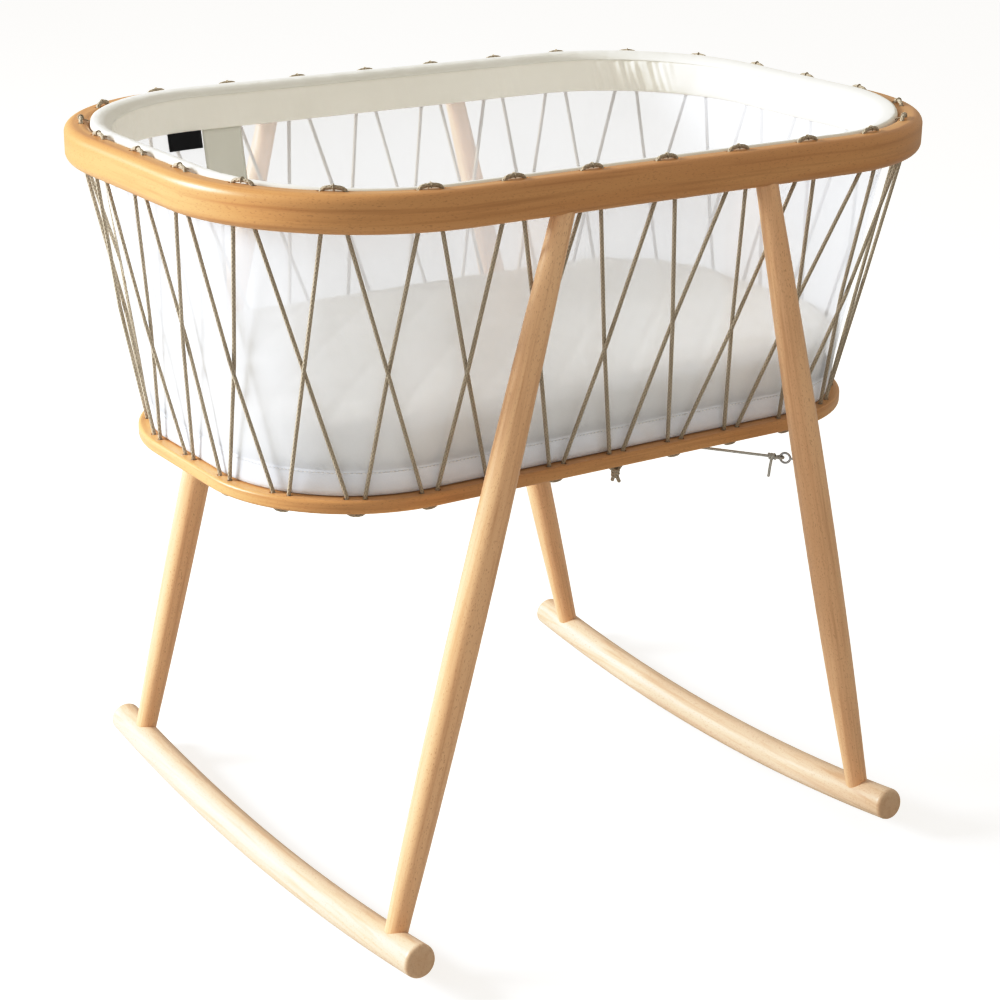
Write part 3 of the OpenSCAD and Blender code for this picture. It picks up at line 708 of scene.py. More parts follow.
@dataclass(frozen=True)
class Cloth:
    """Woven cloth: a plain weave on the UV in mm, a slow change of tone and a soft sheen.

    Where open_work is above 0 the gaps between the threads are clearer than the threads; through
    is painted light: a steady glow in the cloth's own colour that lifts its shaded side, standing
    in for the little light that comes through the cloth from its other side.
    """

    name: str
    colour: Colour
    shade: Colour
    pitch: float = 0.55
    relief: float = 0.00008
    sheen: float = 0.25
    alpha: float = 1.0
    open_work: float = 0.0
    through: float = 0.0

    def build(self) -> bpy.types.Material:
        """Makes the material."""
        material, w, shader = new_material(self.name)
        place = w.add("UVMap", {"uv_map": UV_NAME}).outputs[0]
        weave = EFFECTS.use(w, EFFECTS.weave, Place=place, Pitch=self.pitch).outputs
        tone = EFFECTS.use(w, EFFECTS.mottle, Place=w.add("TexCoord").outputs["Object"],
                           Scale=14.0).outputs
        colour = w.mix(w.ramp(tone["Tone"], 0, 1, 0, 0.45), self.colour, self.shade)
        # Painted shade: the weave's gaps between the threads are darkened towards the shade colour.
        colour = w.mix(w.math("MULTIPLY", weave["Gaps"], 0.45), colour, self.shade)
        w.put(shader.inputs["Base Color"], colour)
        shader.inputs["Roughness"].default_value = 0.85
        shader.inputs["Sheen Weight"].default_value = self.sheen
        shader.inputs["Specular IOR Level"].default_value = 0.2
        height = w.math("ADD", weave["Height"], w.math("MULTIPLY", tone["Fine"], 0.8))
        bump = w.add("Bump", Strength=0.5, Distance=self.relief, Height=height)
        w.put(shader.inputs["Normal"], bump.outputs[0])
        if self.open_work:
            gaps = w.math("MULTIPLY", weave["Gaps"], self.open_work)
            whole = self.alpha + self.open_work / 2
            w.put(shader.inputs["Alpha"], w.math("SUBTRACT", whole, gaps))
        # Painted light: a steady glow in the cloth's own colour, in place of light coming through the
        # cloth.
        if self.through:
            shader.inputs["Emission Color"].default_value = (*self.colour, 1)
            shader.inputs["Emission Strength"].default_value = self.through
        return material


class Lay(Enum):
    """How a cord's strands are laid."""

    BRAID = (4.0, 0.85, 1.0)
    TWIST = (3.0, 0.5, 0.0)


@dataclass(frozen=True)
class CordFinish:
    """Cotton cord whose strands show as ridges, with painted shade in the grooves between them."""

    name: str
    colour: Colour
    dark_tone_and_groove_shade: Colour
    lay: Lay = Lay.BRAID
    relief: float = 0.0004

    def build(self) -> bpy.types.Material:
        """Makes the material."""
        material, w, shader = new_material(self.name)
        place = w.add("UVMap", {"uv_map": UV_NAME}).outputs[0]
        turns, along, second = self.lay.value
        strands = EFFECTS.use(w, EFFECTS.strands, Place=place, Round=turns, Along=along,
                              Second=second).outputs
        tone = EFFECTS.use(w, EFFECTS.mottle, Place=w.add("TexCoord").outputs["Object"],
                           Scale=60.0).outputs
        lit = w.mix(w.ramp(tone["Tone"], 0, 1, 0, 0.5), self.colour, self.dark_tone_and_groove_shade)
        # Painted shade: the grooves between the strands are darkened towards the second, darker colour.
        w.put(shader.inputs["Base Color"],
              w.mix(w.math("MULTIPLY", strands["Valleys"], 0.75), lit, self.dark_tone_and_groove_shade))
        shader.inputs["Roughness"].default_value = 0.8
        shader.inputs["Sheen Weight"].default_value = 0.2
        height = w.math("ADD", strands["Height"], w.math("MULTIPLY", tone["Fine"], 0.3))
        bump = w.add("Bump", Strength=0.8, Distance=self.relief, Height=height)
        w.put(shader.inputs["Normal"], bump.outputs[0])
        return material


# ------------------------------------------------------------------ studio

@dataclass
class Studio:
    """Camera, floor and soft light."""

    target: tuple[float, float, float] = (-90.4, -138.3, 405.0)
    distance: float = 2318
    azimuth: float = -34.2
    elevation: float = 19.93
    roll: float = 0.79
    focal_share: float = 2.334
    sensor: float = 36.0
    sky: float = 0.58
    key_place: tuple[float, float, float] = (-3.20, 1.93, 2.0)
    key_power: float = 205.0
    floor_glow: float = 0.56
    key_size: float = 1.3
    key_colour: Colour = (0.90, 0.96, 1.05)
    key_target: tuple[float, float, float] = (0, 0, 0.45)
    floor_half: float = 9000.0
    sky_colour: Colour = (1.0, 0.965, 0.90)
    film_curve: tuple[tuple[float, float], ...] = (
        (0.12, 0.075), (0.30, 0.245), (0.55, 0.56), (0.80, 0.86))

    def camera(self) -> None:
        """Places the camera: it looks at the target from the front left, a little rolled."""
        az, el, roll = (math.radians(v) for v in (self.azimuth, self.elevation, self.roll))
        look = Vector((-math.cos(el) * math.sin(az), math.cos(el) * math.cos(az), -math.sin(el)))
        right = look.cross(Vector((0, 0, 1))).normalized()
        up = right.cross(look)
        side = math.cos(roll) * right + math.sin(roll) * up
        top = side.cross(look)
        data = bpy.data.cameras.new("camera")
        data.sensor_width = self.sensor
        data.lens = self.focal_share * self.sensor
        data.clip_start, data.clip_end = 0.05, 60
        camera = bpy.data.objects.new("camera", data)
        turn = Matrix((side, top, -look)).transposed().to_4x4()
        place = (Vector(self.target) - look * self.distance) * MM
        camera.matrix_world = Matrix.Translation(place) @ turn
        bpy.context.scene.collection.objects.link(camera)
        bpy.context.scene.camera = camera

    def world(self) -> None:
        """Even pale surroundings, white where the camera sees them."""
        world = bpy.data.worlds.new("studio")
        world.use_nodes = True
        bpy.context.scene.world = world
        w = Wiring(world.node_tree)
        light = world.node_tree.nodes["Background"]
        light.inputs["Color"].default_value = (*self.sky_colour, 1)
        light.inputs["Strength"].default_value = self.sky
        seen = w.add("Background", Color=(1.0, 1.0, 1.0), Strength=1.05)
        both = w.add("MixShader")
        w.put(both.inputs[0], w.add("LightPath").outputs["Is Camera Ray"])
        w.put(both.inputs[1], light.outputs[0])
        w.put(both.inputs[2], seen.outputs[0])
        w.put(world.node_tree.nodes["World Output"].inputs[0], both.outputs[0])

    def lamp(self) -> None:
        """Adds the one square soft light, which faces the cradle's middle."""
        data = bpy.data.lights.new("key", "AREA")
        data.shape = "SQUARE"
        data.size = self.key_size
        data.energy = self.key_power
        data.color = self.key_colour
        lamp = bpy.data.objects.new("key", data)
        lamp.location = self.key_place
        away = Vector(self.key_place) - Vector(self.key_target)
        lamp.rotation_euler = away.to_track_quat("Z", "Y").to_euler()
        bpy.context.scene.collection.objects.link(lamp)

    def floor(self) -> None:
        """Plain pale floor."""
        x = np.array([-self.floor_half, self.floor_half])
        grid = np.stack(np.broadcast_arrays(x[None, :], x[:, None], 0.0), -1)
        floor = grid_mesh("floor", [grid], [grid[..., :2]], closed=False)
        material, w, shader = new_material("pale_floor")
        shader.inputs["Base Color"].default_value = (0.62, 0.615, 0.60, 1)
        shader.inputs["Roughness"].default_value = 0.9
        shader.inputs["Emission Color"].default_value = (1, 1, 1, 1)
        seen = w.add("LightPath").outputs["Is Camera Ray"]
        w.put(shader.inputs["Emission Strength"], w.math("MULTIPLY", seen, self.floor_glow))
        dress(floor, material)

    def film(self) -> None:
        """Plain display with a gentle curve: shade a little deeper, lit parts a little paler."""
        view = bpy.context.scene.view_settings
        view.view_transform = "Standard"
        view.use_curve_mapping = True
        curve = view.curve_mapping.curves[3]
        for x, y in self.film_curve:
            curve.points.new(x, y)
        view.curve_mapping.update()

    def build(self) -> None:
        """Sets up the whole studio."""
        self.camera()
        self.world()
        self.floor()
        self.lamp()
        self.film()
        log.info("studio ready")


# ------------------------------------------------------------------ woodwork and hardware

@dataclass
class Woodwork:
    """Finishes for the hoop, the ring, the board, the legs and the rockers."""

    sizes: FrameSizes = SIZES

    def build(self) -> None:
        """Dresses each wooden node."""
        nodes = frame["nodes"]
        dress(nodes["top_hoop"], BentBeech("bent_beech_hoop", outline=self.sizes.hoop).build())
        dress(nodes["bottom_ring"], BentBeech("bent_beech_ring", outline=self.sizes.ring).build())
        dress(nodes["base_board"], StraightBeech(
            "birch_ply", pale=(0.80, 0.62, 0.42), middle=(0.74, 0.54, 0.34),
            deep=(0.62, 0.42, 0.24), fleck=(0.45, 0.29, 0.16), start=(-40, 25, 6)).build())
        head, foot = Vector(self.sizes.leg_head), Vector(self.sizes.leg_foot)
        for side, sx in (("left", -1), ("right", 1)):
            for end, sy in (("front", -1), ("back", 1)):
                flip = Vector((sx, sy, 1))
                start = foot * flip
                along = (head - foot) * flip
                name = f"leg_{end}_{side}"
                dress(nodes[name], StraightBeech(
                    f"turned_beech_{name}", start=tuple(start), along=tuple(along),
                    pale=(0.86, 0.60, 0.37), middle=(0.80, 0.51, 0.29),
                    deep=(0.60, 0.34, 0.17)).build())
            dress(nodes[f"rocker_{side}"], StraightBeech(
                f"turned_beech_rocker_{side}", start=(sx * 290, 40, 11), along=(0, 1, 0.0),
                end_at=317.0, pale=(0.80, 0.65, 0.49), middle=(0.74, 0.56, 0.39),
                deep=(0.58, 0.38, 0.22)).build())
            log.info("legs and rocker dressed, %s", side)


@dataclass
class Hardware:
    """Finishes for the screws, bolts, sleeves and eyes."""

    steel: tuple[str, ...] = ("board_screws", "hanger_bolts", "foot_bolts", "tie_eyes")
    brass: tuple[str, ...] = ("hoop_inserts", "foot_inserts")

    def build(self) -> None:
        """Dresses each metal node."""
        zinc = Metal("zinc_steel", (0.62, 0.63, 0.64), 0.28).build()
        yellow = Metal("brass_insert", (0.72, 0.53, 0.24), 0.30).build()
        for names, material in ((self.steel, zinc), (self.brass, yellow)):
            for name in names:
                dress(frame["nodes"][name], material)
        log.info("hardware dressed")


# ------------------------------------------------------------------ lacing

@dataclass
class Lacing:
    """The two laces, each one cord that runs over the hoop and under the ring by turns."""

    sizes: FrameSizes = SIZES
    hoop_hump: float = 3.5
    ring_hump: float = 3.2
    squareness: float = 0.9
    drawn_in: float = 0.9
    sides: int = 8
    step: float = 2.6
    knot_turn_r: float = 2.75
    knot_wire_r: float = 1.85

    def ring_place(self, k: float, outline: Outline, z: float) -> np.ndarray:
        """Point at place k of an outline, at height z."""
        plan, _ = outline.at(np.array(k * outline.length / self.sizes.places))
        return np.array([plan[0], plan[1], z])

    def strand_middles(self, k: np.ndarray, out: float) -> np.ndarray:
        """Where the two strands between places k and k + 1 pass each other.

        The middle of the shortest line between them, moved along that line by out.

        Args:
            k: the first place of each pair.
            out: distance moved, outwards where it is above 0.

        Returns:
            Points in mm, one for each k.
        """
        s = self.sizes
        hp, rp = s.hoop.length / s.places, s.ring.length / s.places

        def point(outline: Outline, run: np.ndarray, z: float) -> np.ndarray:
            """Points at a height on an outline."""
            plan, _ = outline.at(run)
            return np.concatenate([plan, np.full(plan.shape[:-1] + (1,), z)], -1)

        a0 = point(s.hoop, k * hp + s.hoop_pair / 2, s.hoop_bottom)
        b0 = point(s.hoop, (k + 1) * hp - s.hoop_pair / 2, s.hoop_bottom)
        a1 = point(s.ring, (k + 1) * rp - s.ring_pair / 2, s.ring_top)
        b1 = point(s.ring, k * rp + s.ring_pair / 2, s.ring_top)
        u, v, w = a1 - a0, b1 - b0, a0 - b0

        def dot(p: np.ndarray, q: np.ndarray) -> np.ndarray:
            """Scalar products along the last axis."""
            return (p * q).sum(-1, keepdims=True)

        whole = dot(u, u) * dot(v, v) - dot(u, v) ** 2
        on_a = (dot(u, v) * dot(v, w) - dot(v, v) * dot(u, w)) / whole
        on_b = (dot(u, u) * dot(v, w) - dot(u, v) * dot(u, w)) / whole
        across = unit(np.cross(u, v))
        _, outward = s.hoop.at((k + 0.5) * hp)
        sign = np.sign((across[..., :2] * outward).sum(-1, keepdims=True))
        return (a0 + on_a * u + b0 + on_b * v) / 2 + out * sign * across

    def hump(self, outline: Outline, k: float, pair: float, z_in: float, z_out: float,
             height: float) -> np.ndarray:
        """The cord's way through one hole of a pair, over, and down the other.

        Over the wood it is a squared half ellipse: along the outline the cosine of an angle to
        a power, and away from the wood its sine to the same power.

        Args:
            outline: the line of holes.
            k: the place.
            pair: distance between the two holes.
            z_in: height where the cord enters the holes.
            z_out: height of the face that it passes over.
            height: how far the cord's middle stands off that face, below it where negative.

        Returns:
            Points in mm, (15, 3).
        """
        angle = np.linspace(0, math.pi, 13)
        power = self.squareness
        half = pair / 2 - self.drawn_in
        along = -np.sign(np.cos(angle)) * np.abs(np.cos(angle)) ** power * half
        away = np.sin(angle) ** power * height
        middle = k * outline.length / self.sizes.places
        run = np.concatenate([[-half], along, [half]])
        z = np.concatenate([[z_in], z_out + away, [z_in]])
        plan, _ = outline.at(middle + run)
        return np.concatenate([plan, z[:, None]], -1)

    def route(self, out: float, knot_at: int) -> np.ndarray:
        """One lace's whole way, from its knot round to its knot.

        Args:
            out: how far its strands are moved outwards where they cross the other lace.
            knot_at: place under the ring where its ends meet.

        Returns:
            Points in mm.
        """
        s = self.sizes
        loops = []
        for k in range(knot_at + 1, knot_at + 1 + s.places, 2):
            loops += [
                self.strand_middles(np.array([k - 1.0]), out),
                self.hump(s.hoop, k, s.hoop_pair, s.hoop_bottom, s.hoop_top, self.hoop_hump),
                self.strand_middles(np.array([float(k)]), out),
                self.hump(s.ring, k + 1, s.ring_pair, s.ring_top, s.ring_bottom, -self.ring_hump),
            ]
        last = loops.pop()
        half = len(last) // 2
        plan, _ = s.ring.at(np.array([-2.3, 2.3]) + knot_at * s.ring.length / s.places)
        into = np.concatenate([plan, [[s.ring_bottom - 6.5]] * 2], -1)
        whole = np.concatenate([into[1:], last[half + 2:], *loops, last[:half - 1], into[:1]])
        return evened(whole, self.step, 1)

    def knot(self, name: str, place: int) -> bpy.types.Object:
        """Tight knot under the ring: a few turns of a helix and two short tails.

        Args:
            name: the piece's name.
            place: its place along the ring.

        Returns:
            The knot.
        """
        s = self.sizes
        middle = self.ring_place(place, s.ring, s.ring_bottom - 8.2)
        t = np.linspace(0, 1, 40)
        turn = TURN * 2.6 * t + 0.7
        coil = middle + np.stack([
            self.knot_turn_r * np.cos(turn), self.knot_turn_r * np.sin(turn), 4.2 - 7.6 * t], -1)
        grids, uvs = [], []
        tails = [
            np.array([[1.2, 0.6, 1], [1.8, -0.6, -3.5], [2.2, -1.4, -6.5], [3.6, -2.0, -9.5]]),
            np.array([[-1.3, -0.4, 1], [-1.8, 0.5, -3.0], [-2.0, 1.0, -5.5], [-2.6, 1.4, -8.0]]),
        ]
        ropes = [(coil, (0, 0, 1.0))]
        ropes += [(middle + evened(tail, 1.2, 3), (0, 1.0, 0.1)) for tail in tails]
        for path, hint in ropes:
            grid, uv = tube(path, self.knot_wire_r, 10, np.array(hint))
            grids.append(grid)
            uvs.append(uv)
        return grid_mesh(name, grids, uvs)

    def build(self) -> None:
        """Makes both laces and their knots."""
        s = self.sizes
        finish = CordFinish("lacing_cord", (0.60, 0.52, 0.40), (0.40, 0.335, 0.24)).build()
        for letter, out, knot_at, knot_node in (
                ("a", s.strand_apart, 1, "lace_knot_back"),
                ("b", -s.strand_apart, 14, "lace_knot_front")):
            path = self.route(out, knot_at)
            middle = np.array([0, 0, 600.0])
            hint = unit((path - middle) * np.array([1, 1, 0]))
            grid, uv = tube(path, s.cord_d / 2, self.sides, hint)
            lace = grid_mesh(f"lacing_{letter}", [grid], [uv])
            knot = self.knot(f"lacing_knot_{letter}", knot_at)
            for piece, node in ((lace, f"lace_{letter}"), (knot, knot_node)):
                dress(piece, finish)
                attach(piece, CRADLE)
                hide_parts(node)


# ------------------------------------------------------------------ liner

@dataclass
class Liner:
    """Sheer wall, hem, floor, padded rim with its binding and loops, and two blank labels."""

    sizes: FrameSizes = SIZES
    foot: Outline = Outline(356, 202, 142)
    top: Outline = Outline(392.8, 259.8, 174.8)
    foot_z: float = 459.2
    top_z: float = 768.5
    rim_bottom: float = 721.5
    floor_t: float = 1.0
    hem_top: float = 486.0
    mesh_t: float = 0.5
    hollow: float = 2.0
    bow_high: float = 262.0
    rim_outer: float = -9.6
    rim_inner: float = -28.6
    rim_fall: float = 5.5
    fold_depth: float = 1.5
    stitch_pitch: float = 4.2
    edge_slack: tuple[float, float, float] = (3.0, 5.0, 2.6)
    fold_slack: tuple[float, float, float] = (0.4, 8.4, 5.6)

    def wall(self, z: float) -> Outline:
        """The wall's outside outline at height z: straight between the foot and the top edge."""
        return self.foot.blended(self.top, (z - self.foot_z) / (self.top_z - self.foot_z))

    def belt(
        self, heights: np.ndarray, columns: int, inward: np.ndarray
    ) -> tuple[np.ndarray, np.ndarray]:
        """Cloth round the wall.

        Args:
            heights: heights of the rows.
            columns: number of columns round.
            inward: how far each point lies inside the wall's outline, (rows, columns + 1).

        Returns:
            Grid of points and UV in mm.
        """
        share = np.linspace(0, 1, columns + 1)
        rows, maps = [], []
        for z, depth in zip(heights, inward):
            outline = self.wall(z)
            plan, out = outline.at(share * outline.length)
            level = np.full((columns + 1, 1), z)
            rows.append(np.concatenate([plan - depth[:, None] * out, level], -1))
            maps.append(np.stack([share * self.foot.length, np.full(columns + 1, z)], -1))
        return np.array(rows), np.array(maps)

    def finish_sheet(self, piece: bpy.types.Object, thickness: float) -> None:
        """Gives a sheet its thickness.

        Args:
            piece: the sheet.
            thickness: its thickness in mm.
        """
        solid = piece.modifiers.new("thickness", "SOLIDIFY")
        solid.thickness = thickness * MM
        solid.offset = -1
        solid.use_even_offset = False

    def own(
        self, piece: bpy.types.Object, slot: str, finish: bpy.types.Material, *nodes: str
    ) -> None:
        """Rides a piece on the cradle, dresses it and hides any nodes that it replaces.

        Args:
            piece: the piece.
            slot: name of a material slot; not used.
            finish: the material.
            *nodes: the nodes that it replaces.
        """
        dress(piece, finish)
        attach(piece, CRADLE)
        if nodes:
            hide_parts(*nodes)
        log.info("%s: %d faces", piece.name, len(piece.data.polygons))

    def sheer_wall(self) -> bpy.types.Object:
        """The mesh: drawn in a little between floor and rim, with slack folds from both seams."""
        columns, rows = 520, 46
        heights = np.linspace(self.foot_z + self.floor_t, self.rim_bottom + 3, rows)
        share = np.linspace(0, 1, columns + 1)
        s = share * self.foot.length
        up = (heights - heights[0]) / (heights[-1] - heights[0])
        slack = waves(11, 7, 26, 90, self.foot.length)
        long_slack = waves(12, 5, 120, 420, self.foot.length)
        near_rim = np.exp(-(1 - up) / 0.16)[:, None]
        near_hem = np.exp(-up / 0.12)[:, None]
        corner = self.foot.cornering(s)[None]
        drawn_in = self.hollow * np.sin(math.pi * up) ** 0.8
        inward = drawn_in[:, None] * (1 + 0.35 * long_slack(s)[None])
        inward = inward + (near_rim * (0.25 + 0.55 * corner) + near_hem * 0.2) * slack(s)[None]
        inward = np.maximum(inward, 0.1)
        grid, uv = self.belt(heights, columns, inward)
        return grid_mesh("sheer_wall", [grid], [uv], closed=False)

    def hem(self) -> bpy.types.Object:
        """Tape round the foot of the wall, just inside it."""
        columns = 360
        heights = np.linspace(self.foot_z + self.floor_t, self.hem_top, 9)
        s = np.linspace(0, 1, columns + 1) * self.foot.length
        puckers = waves(21, 6, 14, 60, self.foot.length)(s)
        inward = 0.75 + 0.18 * puckers[None] * np.linspace(0.3, 1, 9)[:, None]
        up = (heights - heights[0]) / self.bow_high
        inward = inward + self.hollow * np.sin(math.pi * up)[:, None] ** 0.8 * 0.9
        grid, uv = self.belt(heights, columns, inward)
        return grid_mesh("hem_tape", [grid], [uv], closed=False)

    def floor(self) -> bpy.types.Object:
        """Cotton floor: outlines one inside the other, down to a line along the middle."""
        columns = 160
        outline = self.wall(self.foot_z).grown(-0.4)
        share = np.linspace(0, 1, columns + 1)
        rows, maps = [], []
        for inset in np.concatenate([[0], np.linspace(6, outline.half_width - 1, 14)]):
            inner = outline.grown(-inset)
            plan, _ = inner.at(share * inner.length)
            level = np.full((columns + 1, 1), self.foot_z + self.floor_t)
            rows.append(np.concatenate([plan, level], -1))
            maps.append(plan)
        middle = rows[-1] * np.array([1, 0, 1])
        rows.append(middle)
        maps.append(middle[:, :2])
        return grid_mesh("floor_cloth", [np.array(rows)], [np.array(maps)], closed=False)

    def slack(self, s: np.ndarray, away: np.ndarray, z: np.ndarray) -> np.ndarray:
        """How far the soft rim settles below its cut shape.

        It settles more along the front and the left, and more at its fold than at its outer
        edge; from the top down to its sewn foot the amount falls to nothing.

        Args:
            s: distances round the rim.
            away: distances outwards from the hole line.
            z: heights.

        Returns:
            Distances down, of the three arguments' common shape.
        """
        _, out = self.sizes.hoop.at(s)
        front = np.maximum(0, -out[..., 1]) ** 1.5
        left = np.maximum(0, -out[..., 0]) ** 1.5
        edge = self.edge_slack[0] + self.edge_slack[1] * front + self.edge_slack[2] * left
        fold = self.fold_slack[0] + self.fold_slack[1] * front + self.fold_slack[2] * left
        across = np.clip((self.rim_outer - away) / (self.rim_outer - self.rim_inner), 0, 1)
        level = np.clip((z - self.rim_bottom) / (self.top_z - self.rim_fall - self.rim_bottom), 0, 1)
        return (edge + (fold - edge) * across) * level

    def rim_section(self) -> np.ndarray:
        """Closed section of the padded rim: flat top, plump inner face, narrow sewn foot.

        Its X is the distance outwards from the hole line, and its Y is the height.
        """
        top, fold = self.top_z - 1.7, self.top_z - self.rim_fall - 1.7
        keys = np.array([
            [-15.4, self.rim_bottom], [-13.2, self.rim_bottom + 9], [-11.2, self.rim_bottom + 24],
            [self.rim_outer - 1.2, top - 6], [self.rim_outer - 1.7, top - 1.2],
            [self.rim_outer - 3.6, top - 0.1], [self.rim_outer - 10, top - 1.6],
            [self.rim_inner + 3.0, fold + 0.3], [self.rim_inner + 0.7, fold - 1.0],
            [self.rim_inner + 0.1, fold - 4.5], [self.rim_inner + 0.7, self.rim_bottom + 24],
            [self.rim_inner + 3.4, self.rim_bottom + 9], [-22.6, self.rim_bottom + 1.6],
            [-21.6, self.rim_bottom], [-19.6, self.rim_bottom - 0.6], [-17.0, self.rim_bottom - 0.6],
            [-15.4, self.rim_bottom],
        ])
        keys3 = np.concatenate([keys, np.zeros((len(keys), 1))], -1)
        return evened(keys3, 2.2, 1)[:, :2]

    def rim(self) -> bpy.types.Object:
        """Padded rim: the section goes round the hoop, and its inner face gathers in folds.

        The folds are a sum of sines round the rim. They are deepest in the corners, where the
        cloth has too much length, die out at the top fold, and grow a little towards the foot.
        """
        outline = self.sizes.hoop
        columns = 900
        s = np.linspace(0, outline.length, columns + 1)
        section = self.rim_section()
        level = (section[:, 1] - self.rim_bottom) / (self.top_z - self.rim_bottom)
        inner = rise(-section[:, 0], 17.5, 22) * rise(-level, -0.86, -0.70) * rise(level, -0.02, 0.06)
        depth = inner[:, None] * (0.16 + 0.84 * outline.cornering(s)[None])
        slant = s[None] + 16 * level[:, None]
        tight = waves(31, 9, 8.5, 30, outline.length)(slant)
        lean = waves(32, 5, 30, 80, outline.length)(s[None] - 22 * level[:, None])
        bunched = rise(waves(34, 5, 70, 260, outline.length)(s)[None], -0.9, 0.9)
        sharp = np.sign(tight) * np.abs(tight) ** 0.8
        shift = depth * self.fold_depth * (0.95 * bunched * sharp + 0.45 * lean)
        dip = waves(33, 6, 60, 200, outline.length)(s)[None] * 0.25 * inner[:, None]
        grid = section_round(outline, s, section, shift + dip)
        grid[..., 2] -= self.slack(s[None], section[:, :1], section[:, 1:])
        run = np.concatenate([[0], np.cumsum(np.linalg.norm(np.diff(section, axis=0), axis=1))])
        uv = np.stack(np.broadcast_arrays(s[None, :], run[:, None]), -1)
        return grid_mesh("rim_pad", [grid], [uv])

    def binding_line(self) -> np.ndarray:
        """Outer face of the binding's section: up the lip, over the edge, and in to the fold."""
        keys = np.array([
            [self.rim_outer + 0.1, self.top_z - 7, 0], [self.rim_outer + 0.1, self.top_z - 1.6, 0],
            [self.rim_outer - 0.5, self.top_z - 0.4, 0], [self.rim_outer - 1.8, self.top_z + 0.05, 0],
            [self.rim_outer - 7, self.top_z - 0.6, 0], [self.rim_outer - 13, self.top_z - 2.7, 0],
            [self.rim_inner + 2.0, self.top_z - self.rim_fall - 0.4, 0],
            [self.rim_inner + 0.5, self.top_z - self.rim_fall - 2.0, 0],
            [self.rim_inner + 0.0, self.top_z - self.rim_fall - 4.6, 0],
        ])
        return evened(keys, 1.3, 2)[:, :2]

    def binding(self) -> bpy.types.Object:
        """Bias binding over the rim's top, with small puckers between its stitches."""
        outline = self.sizes.hoop
        s = np.linspace(0, outline.length, 701)
        line = self.binding_line()
        pucker = waves(41, 6, 9, 40, outline.length)(s)[None] * 0.14
        share = np.linspace(0, 1, len(line))[:, None]
        grid = section_round(outline, s, line)
        grid[..., 2] += pucker * np.sin(math.pi * share) * rise(share, 0.3, 0.45)
        grid[..., 2] -= self.slack(s[None], line[:, :1], line[:, 1:])
        run = share * 28
        uv = np.stack(np.broadcast_arrays(s[None, :] * 0.7 + run, run - 0.7 * s[None, :]), -1)
        return grid_mesh("rim_binding", [grid], [uv], closed=False)

    def seam(self, outline: Outline, away: float, z: float, normal: tuple[float, float]) -> np.ndarray:
        """Stitches along one line round the rim or the wall.

        Args:
            outline: the outline that the line follows.
            away: the line's distance outwards from it.
            z: its height.
            normal: the cloth's direction there, outwards and up.

        Returns:
            The stitches' grid.
        """
        count = int(outline.length / self.stitch_pitch)
        s = np.linspace(0, outline.length, count + 1)
        plan, out = outline.at(s)
        height = np.full(count + 1, z)
        if z > self.rim_bottom:
            height = height - self.slack(s, np.full(count + 1, away), height)
        line = np.concatenate([plan + away * out, height[:, None]], -1)
        face = unit(np.concatenate([normal[0] * out, np.full((count + 1, 1), normal[1])], -1))
        return stitches(line, face, self.stitch_pitch * 0.68, 0.55)

    def seams(self, name: str, rows: list[np.ndarray]) -> bpy.types.Object:
        """All the stitches of some rows as one piece."""
        maps = [np.zeros(r.shape[:-1] + (2,)) for r in rows]
        return grid_mesh(name, rows, maps)

    def loops(self) -> bpy.types.Object:
        """Thin cord loops: from the binding's outer face up, tight over the lacing, and under it."""
        outline = self.sizes.hoop
        wire, round_r = 0.6, 2.65
        hump_z = self.sizes.hoop_top + 3.4
        s = np.arange(self.sizes.places) * outline.length / self.sizes.places
        middle, out = outline.at(s)
        edge, level = np.full(len(s), self.rim_outer), np.full(len(s), self.top_z)
        held = self.top_z - 3 - self.slack(s, edge, level)
        turn = np.radians(np.linspace(200, -50, 13))
        away = np.concatenate([[-9.8, -9.0, -6.0, -3.4], round_r * np.cos(turn)])
        over = np.broadcast_to(hump_z + round_r * np.sin(turn), (len(s), len(turn)))
        climb = self.sizes.hoop_top + 1.4 - held[:, None]
        lead = held[:, None] + climb * np.array([0, 0.12, 0.6, 1])
        path = middle[:, None] + away[None, :, None] * out[:, None]
        path = np.concatenate([path, np.concatenate([lead, over], -1)[..., None]], -1)
        side = np.stack([-out[:, 1], out[:, 0], 0 * out[:, 0]], -1)[:, None]
        grid, uv = tube(path, wire, 7, np.broadcast_to(side, path.shape))
        return grid_mesh("rim_loops", [grid], [uv])

    def label(self, name: str, at: float, wide: float, drop: float, curl: float) -> bpy.types.Object:
        """Label that hangs from the rim's foot and leans with the wall, curled a little.

        Args:
            name: the piece's name.
            at: its middle's distance from the middle of the back, to the left.
            wide: its width.
            drop: how far it hangs down.
            curl: how far its free end stands off the wall.

        Returns:
            The label.
        """
        z = np.linspace(self.rim_bottom - drop, self.rim_bottom - 0.2, 14)
        across = np.linspace(-wide / 2, wide / 2, 12)
        rows = []
        for height in z:
            outline = self.wall(height)
            free = 1 - (height - z[0]) / (z[-1] - z[0])
            bow = 1.5 + curl * free ** 2 + 0.5 * np.cos(math.pi * across / wide) * free
            plan, out = outline.at(-at + across)
            rows.append(np.concatenate([plan - bow[:, None] * out, np.full((12, 1), height)], -1))
        grid = np.array(rows)
        uv = np.stack(np.broadcast_arrays(across[None, :], z[:, None]), -1)
        return grid_mesh(name, [grid], [uv], closed=False)

